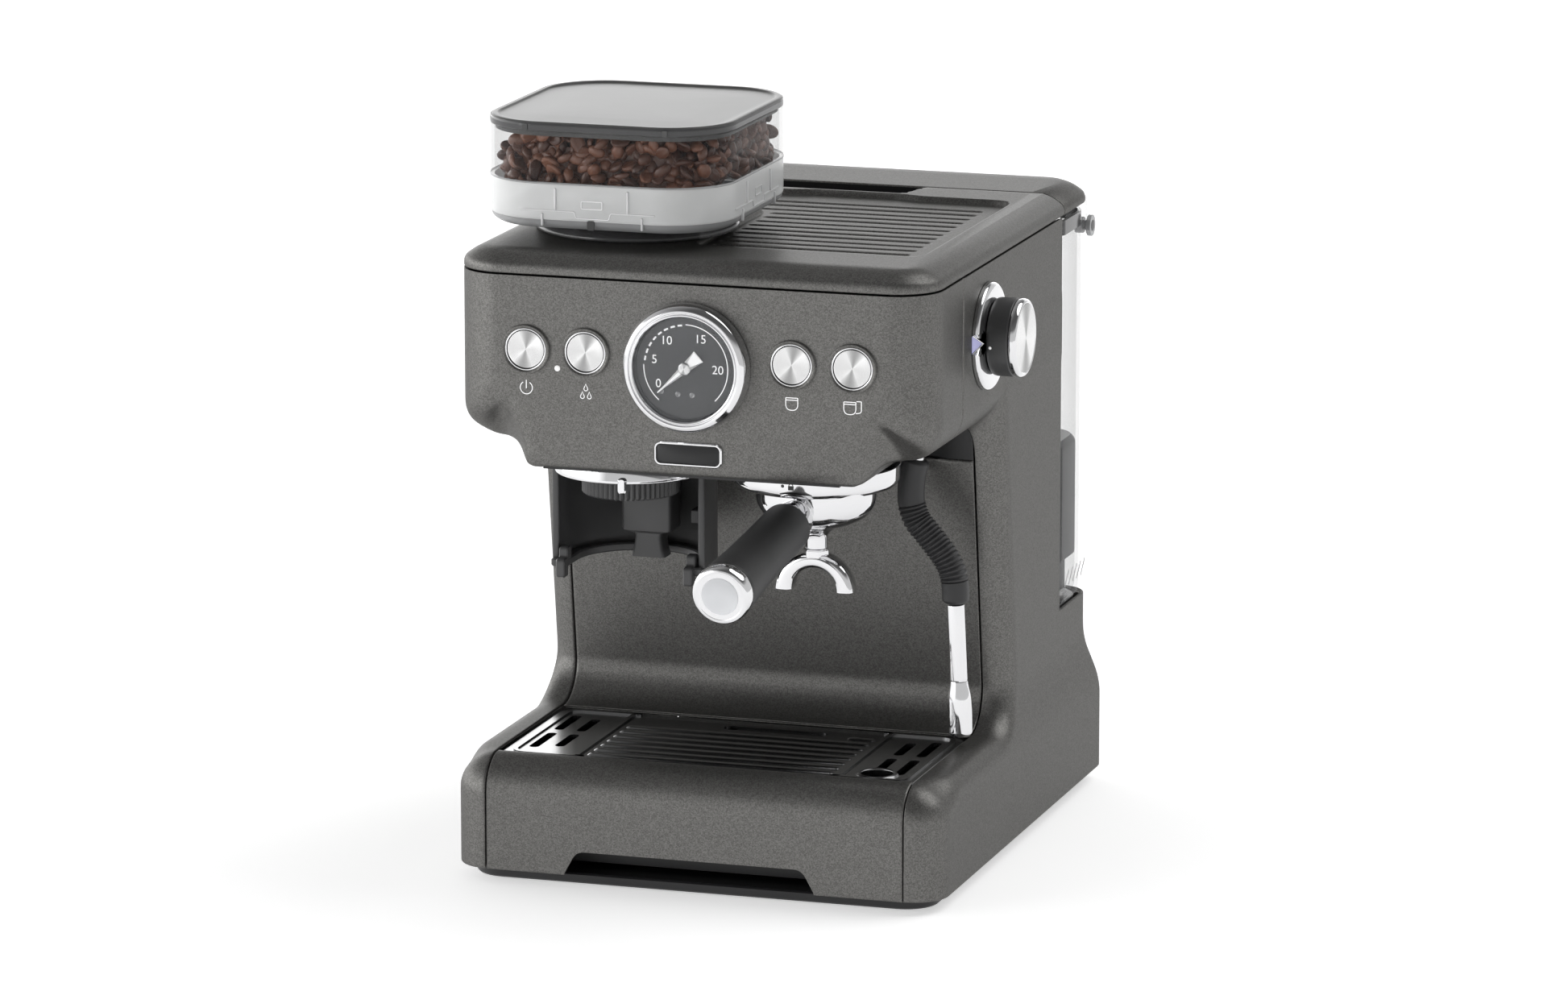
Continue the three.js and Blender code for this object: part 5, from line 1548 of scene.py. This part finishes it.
def build_front():
    """Gauge, icons, buttons, status lamp and a blank badge."""
    build_gauge()
    build_icons()
    rim_profile = [(11.45, 0.9), (11.6, 1.3), (12.2, 1.4), (12.8, 0.8), (12.8, -7), (11.45, -7)]
    face_profile = [(0, 0.62), (6, 0.68), (10.4, 0.95), (11.05, 0.9), (11.05, -3), (0, -3)]
    well_profile = [(14.2, -0.9), (13.9, -1.2), (13.9, -9), (0, -9)]
    for name, x in BUTTONS.items():
        at = Vector((x, HEAD_FRONT, BUTTON_Z))
        rim = turned(rim_profile, at, FORWARD, 0.35, 96, closed=True)
        piece(f"button_rim_{name}", *rim, CHROME, name, "chrome", [f"button_{name}"], origin=at)
        face = turned(face_profile, at, FORWARD, [0, 2, 0.6, 0.2, 0.2, 0], 96)
        piece(f"button_face_{name}", *face, BRUSHED_PAINTED_FAN_Y, name, "brushed_metal", origin=at)
        well = turned(well_profile, at, FORWARD, 0.2, 72)
        piece(f"button_well_{name}", *well, BLACK, "machine", "black_plastic")
    lamp_at = Vector((LAMP[0], HEAD_FRONT, LAMP[1]))
    bulb = [(0, 0.75), (1.0, 0.65), (1.7, 0.25), (1.8, -0.3), (0, -0.3)]
    piece("lamp_lens", *turned(bulb, lamp_at, FORWARD, 0.3, 32), WHITE, "machine", "white", ["status_lamp"])

    outer = rounded_rect(-20.5, 20.5, BADGE_Z - 7, BADGE_Z + 7, 4)
    inner = rounded_rect(-19, 19, BADGE_Z - 5.5, BADGE_Z + 5.5, 2.8)
    levels = [(outer, 0.1), (outer, 1.3), (offset(outer, 0.5), 1.9), (offset(inner, -0.3), 1.9),
              (inner, 1.5), (inner, 0.1), (outer, 0.1)]
    frame_loops = [[on_front(u, v, h) for u, v in loop] for loop, h in levels]
    piece("badge_frame", *loft(frame_loops, caps=False), CHROME, "machine", "chrome", ["front_badge"])
    plate = rounded_rect(-19.2, 19.2, BADGE_Z - 5.7, BADGE_Z + 5.7, 3)
    field = slab(plate, [(0, 0.1), (0, 0.9), (0.3, 1.1)], on_front)
    piece("badge_field", *field, BLACK, "machine", "black_plastic")


# ---- Steam knob and wand ----
def build_knob():
    """Steam knob on its notched plate, with a pointer in the notch."""
    half = math.degrees(math.asin(5.8 / KNOB_PLATE_R))
    outline = arc(KNOB.y, KNOB.z, KNOB_PLATE_R, 180 - half, -180 + half, 110) + [(KNOB.y - 24, KNOB.z)]
    levels = soften([(0, HEAD_HALF + 0.35), (0, 147.2), (1.2, 148.5), (6, 149.5)], [0, 0.8, 1.5, 0])
    plate = slab(outline, levels, on_side)
    piece("knob_dish", *plate, CHROME, "machine", "chrome", ["steam_knob_plate"], sharp=34)
    mouth, tip = KNOB.y - 31.3, KNOB.y - 24.6
    ramp_points = [(144.8, mouth, KNOB.z - 5.4), (144.8, mouth, KNOB.z + 5.4), (149.3, tip, KNOB.z)]
    deep = [(143.8, y, z) for _, y, z in ramp_points]
    piece("knob_pointer", *loft([deep, ramp_points]), LAVENDER, "machine", "white")
    edge = [Vector(p) + Vector((0.15, -0.1, 0)) for p in ramp_points]
    lines = [tube([a, b], [0.45, 0.45], 8) for a, b in ((edge[0], edge[2]), (edge[1], edge[2]))]
    piece("knob_pointer_edge", *merged(*lines), CHROME, "machine", "chrome")

    profile = [(0, 128), (4, 128), (4, 150), (21.5, 150), (22.6, 150.8), (23, 152.4), (23, 162.6),
               (22.4, 163.4), (0, 163.4)]
    barrel = turned(profile, KNOB, AXIS_X, [0, 0.3, 0, 0.5, 1, 1, 0.6, 0.4, 0], 112)
    piece("knob_barrel", *barrel, PLASTIC, "knob", "dark_plastic", ["steam_knob"], origin=KNOB)
    profile = [(0, 163.8), (22.9, 163.8), (23.2, 164.3), (23.2, 166.2), (22.2, 167.9), (20.9, 168.4),
               (20.4, 168.0), (0, 168.0)]
    rim = turned(profile, KNOB, AXIS_X, [0, 0.3, 0.4, 1, 1, 0.6, 0.3, 0], 112)
    piece("knob_rim", *rim, CHROME, "knob", "chrome", ["steam_knob_cap"], origin=KNOB)
    profile = [(0, 168.2), (12, 168.25), (20, 168.15), (20.5, 167.9), (0, 167.8)]
    face = turned(profile, KNOB, AXIS_X, 0.3, 96)
    piece("knob_face", *face, BRUSHED_PAINTED_FAN_X, "knob", "brushed_metal", origin=KNOB)
    out = Vector((0, -math.cos(0.12), -math.sin(0.12)))
    dot_at = KNOB + Vector((153, 0, 0)) + out * 22.9
    dot = turned([(0, 0.35), (0.6, 0.3), (1.0, 0.0), (0, -0.4)], dot_at, out, 0.1, 24)
    piece("knob_dot", *dot, WHITE, "knob", "white")


def build_wand():
    """Ribbed sleeve, stub with its ball, and the pipe with its tip."""
    knots = [(101.7, 246), (99.6, 238), (98.3, 228), (98.6, 219), (101.8, 209.7), (107.8, 202.3),
             (114.6, 194.3), (120.7, 186), (124.5, 177.4), (125.6, 168.6), (125.8, 161)]
    count = 300
    path = smooth_path([(x, WAND_Y, z) for x, z in knots], count)
    radii = []
    for i in range(count):
        t = i / (count - 1)
        r = 8.0
        if 0.3 < t < 0.86:
            phase = (t - 0.3) / 0.56 * 20
            r = 7.3 + 1.1 * (0.5 - 0.5 * math.cos(2 * math.pi * phase)) ** 0.6
        rounding = min(t, 1 - t) * 40
        radii.append(r - max(0, 1 - rounding) ** 2 * 2.0)
    piece("wand_sleeve", *tube(path, radii, 32), RUBBER, "wand", "rubber", ["wand_grip"], sharp=45)
    tilt = Vector((2.1, 0, 12)).normalized()
    foot = Vector((99.9, WAND_Y, 237))
    stub = turned([(0, 0), (4.6, 0), (4.6, 26), (0, 26)], foot, tilt, 0.4, 48)
    half_round = [(8 * math.sin(a), -8 * math.cos(a)) for a in np.linspace(0.02, math.pi - 0.02, 24)]
    ball = lathe(half_round, Vector((104.3, WAND_Y, 262)), AXIS_Z, 48)
    piece("wand_ball", *merged(stub, ball), CHROME, "wand", "chrome", ["wand_stub"])
    lean = Vector((-3.8, 0, 81)).normalized()
    tip = Vector((129.5, WAND_Y, 80.5))
    profile = [(0, 1.2), (1.2, 0.4), (2.4, 0.0), (5.6, 0.4), (6.9, 2.2), (7.2, 14), (6.9, 24), (5.7, 30.2),
               (5.25, 33.4), (5.0, 33.8), (5.2, 34.4), (5.2, 79.6), (0, 79.6)]
    pipe = turned(profile, tip, lean, [0, 0.3, 0.8, 1.5, 2, 3, 4, 3, 0.2, 0.2, 0.2, 0.3, 0], 64)
    piece("wand_pipe", *pipe, CHROME, "wand", "chrome", ["wand_tube"])


# ---- Pieces kept from the frame, with their own materials ----
KEPT = {
    "head_underside": BLACK, "drip_tray": BLACK, "tray_float": PLASTIC, "tank_valve": RUBBER,
    "grinder_housing": PLASTIC, "lower_burr": STEEL, "upper_burr": STEEL, "grinder_motor": STEEL,
    "group_gasket": RUBBER, "shower_screen": STEEL, "boiler": BRASS, "filter_basket": STEEL,
    "pump": STEEL, "solenoid_valve": BRASS, "control_board": BOARD,
}


KEPT_BEVEL = 0.35


def dress_kept():
    """Materials and fine edges for the pieces that stay as the CAD made them."""
    for name, material in KEPT.items():
        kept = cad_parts[name]
        kept.data.materials.clear()
        kept.data.materials.append(material)
        edge = kept.modifiers.new("edges", "BEVEL")
        edge.width = KEPT_BEVEL * MM
        edge.segments = 2
        edge.limit_method = "ANGLE"


# ---- Stage, light and camera ----
def build_floor():
    """Plain pale floor."""
    floor = bpy.data.meshes.new("floor")
    reach = 6
    corners = [(-reach, -reach, 0), (reach, -reach, 0), (reach, reach, 0), (-reach, reach, 0)]
    floor.from_pydata(corners, [], [(0, 1, 2, 3)])
    made = placed("floor", floor)
    material, tree, shader = new_material("pale_floor", Roughness=0.9, Specular_IOR_Level=0.1)
    shader.inputs["Emission Color"].default_value = (1, 1, 1, 1)
    shader.inputs["Emission Strength"].default_value = 0.5
    tone = ramp(tree, grain(tree, 3).outputs["Fac"], 0.3, 0.7, (0.9, 0.9, 0.9), (0.93, 0.93, 0.93))
    drive(tree, tone, shader, "Base Color")
    floor.materials.append(material)


def build_world():
    """Soft studio light: bright near the horizon, dim overhead, and stronger from the left."""
    world = bpy.data.worlds.new("studio")
    world.use_nodes = True
    tree = world.node_tree
    coords = add_node(tree, "ShaderNodeTexCoord")
    split = add_node(tree, "ShaderNodeSeparateXYZ")
    tree.links.new(coords.outputs["Generated"], split.inputs["Vector"])
    sky = ramp(tree, split.outputs["Z"], 0.0, 1.0, (1, 1, 1), (0.16, 0.16, 0.16))
    for stop, level in ((0.3, 0.95), (0.48, 0.22), (0.8, 0.13)):
        band = sky.color_ramp.elements.new(stop)
        band.color = (level, level, level, 1)
    background = tree.nodes["Background"]
    drive(tree, sky, background, "Color")
    sideways = add_node(tree, "ShaderNodeVectorMath", operation="DOT_PRODUCT")
    sideways.inputs[1].default_value = (-0.94, 0.34, 0)
    tree.links.new(coords.outputs["Generated"], sideways.inputs[0])
    strength = spread(tree, sideways.outputs["Value"], 0.7, 3.1)
    strength.inputs["From Max"].default_value = 0.66
    drive(tree, strength, background, "Strength")
    bpy.context.scene.world = world


def sun_light(towards, irradiance, softness):
    """A soft sun that shines in one direction."""
    data = bpy.data.lights.new("sun", "SUN")
    data.energy = irradiance
    data.angle = math.radians(softness)
    made = placed("sun", data)
    made.rotation_euler = Vector(towards).to_track_quat("-Z", "Y").to_euler()


def area_light(name, at, towards, size, watts):
    """A softbox at one point, aimed at another."""
    data = bpy.data.lights.new(name, "AREA")
    data.shape = "RECTANGLE"
    data.size, data.size_y = size
    data.energy = watts
    made = placed(name, data)
    made.location = at
    made.rotation_euler = (Vector(towards) - Vector(at)).to_track_quat("-Z", "Y").to_euler()


# Solved from the corners of the head and the base: place in metres, turns in degrees, lens in millimetres.
CAMERA_AT = (1.3764, -4.3401, 1.1769)
CAMERA_TURN = (77.96, 0, 17.59)
CAMERA_LENS = 178.85


def build_camera():
    """The photo's view."""
    data = bpy.data.cameras.new("camera")
    data.sensor_width = 36
    data.lens = CAMERA_LENS
    data.clip_end = 50
    made = placed("camera", data)
    made.location = CAMERA_AT
    made.rotation_euler = [math.radians(degrees) for degrees in CAMERA_TURN]
    bpy.context.scene.camera = made


# ---- The whole scene ----
build_casing()
build_top()
build_base()
build_drip_plate()
build_tank()
build_hopper()
build_beans()
build_grinder_front()
build_cradle()
build_group()
build_portafilter()
build_front()
build_knob()
build_wand()
dress_kept()
build_floor()
build_world()
sun_light((-0.5, -0.4, -0.8), 1.15, 45)
area_light("left_softbox", (-1.5, -1.7, 0.7), (0, 0, 0.25), (0.7, 1.2), 5)
build_camera()
bpy.context.scene.view_settings.view_transform = "Standard"
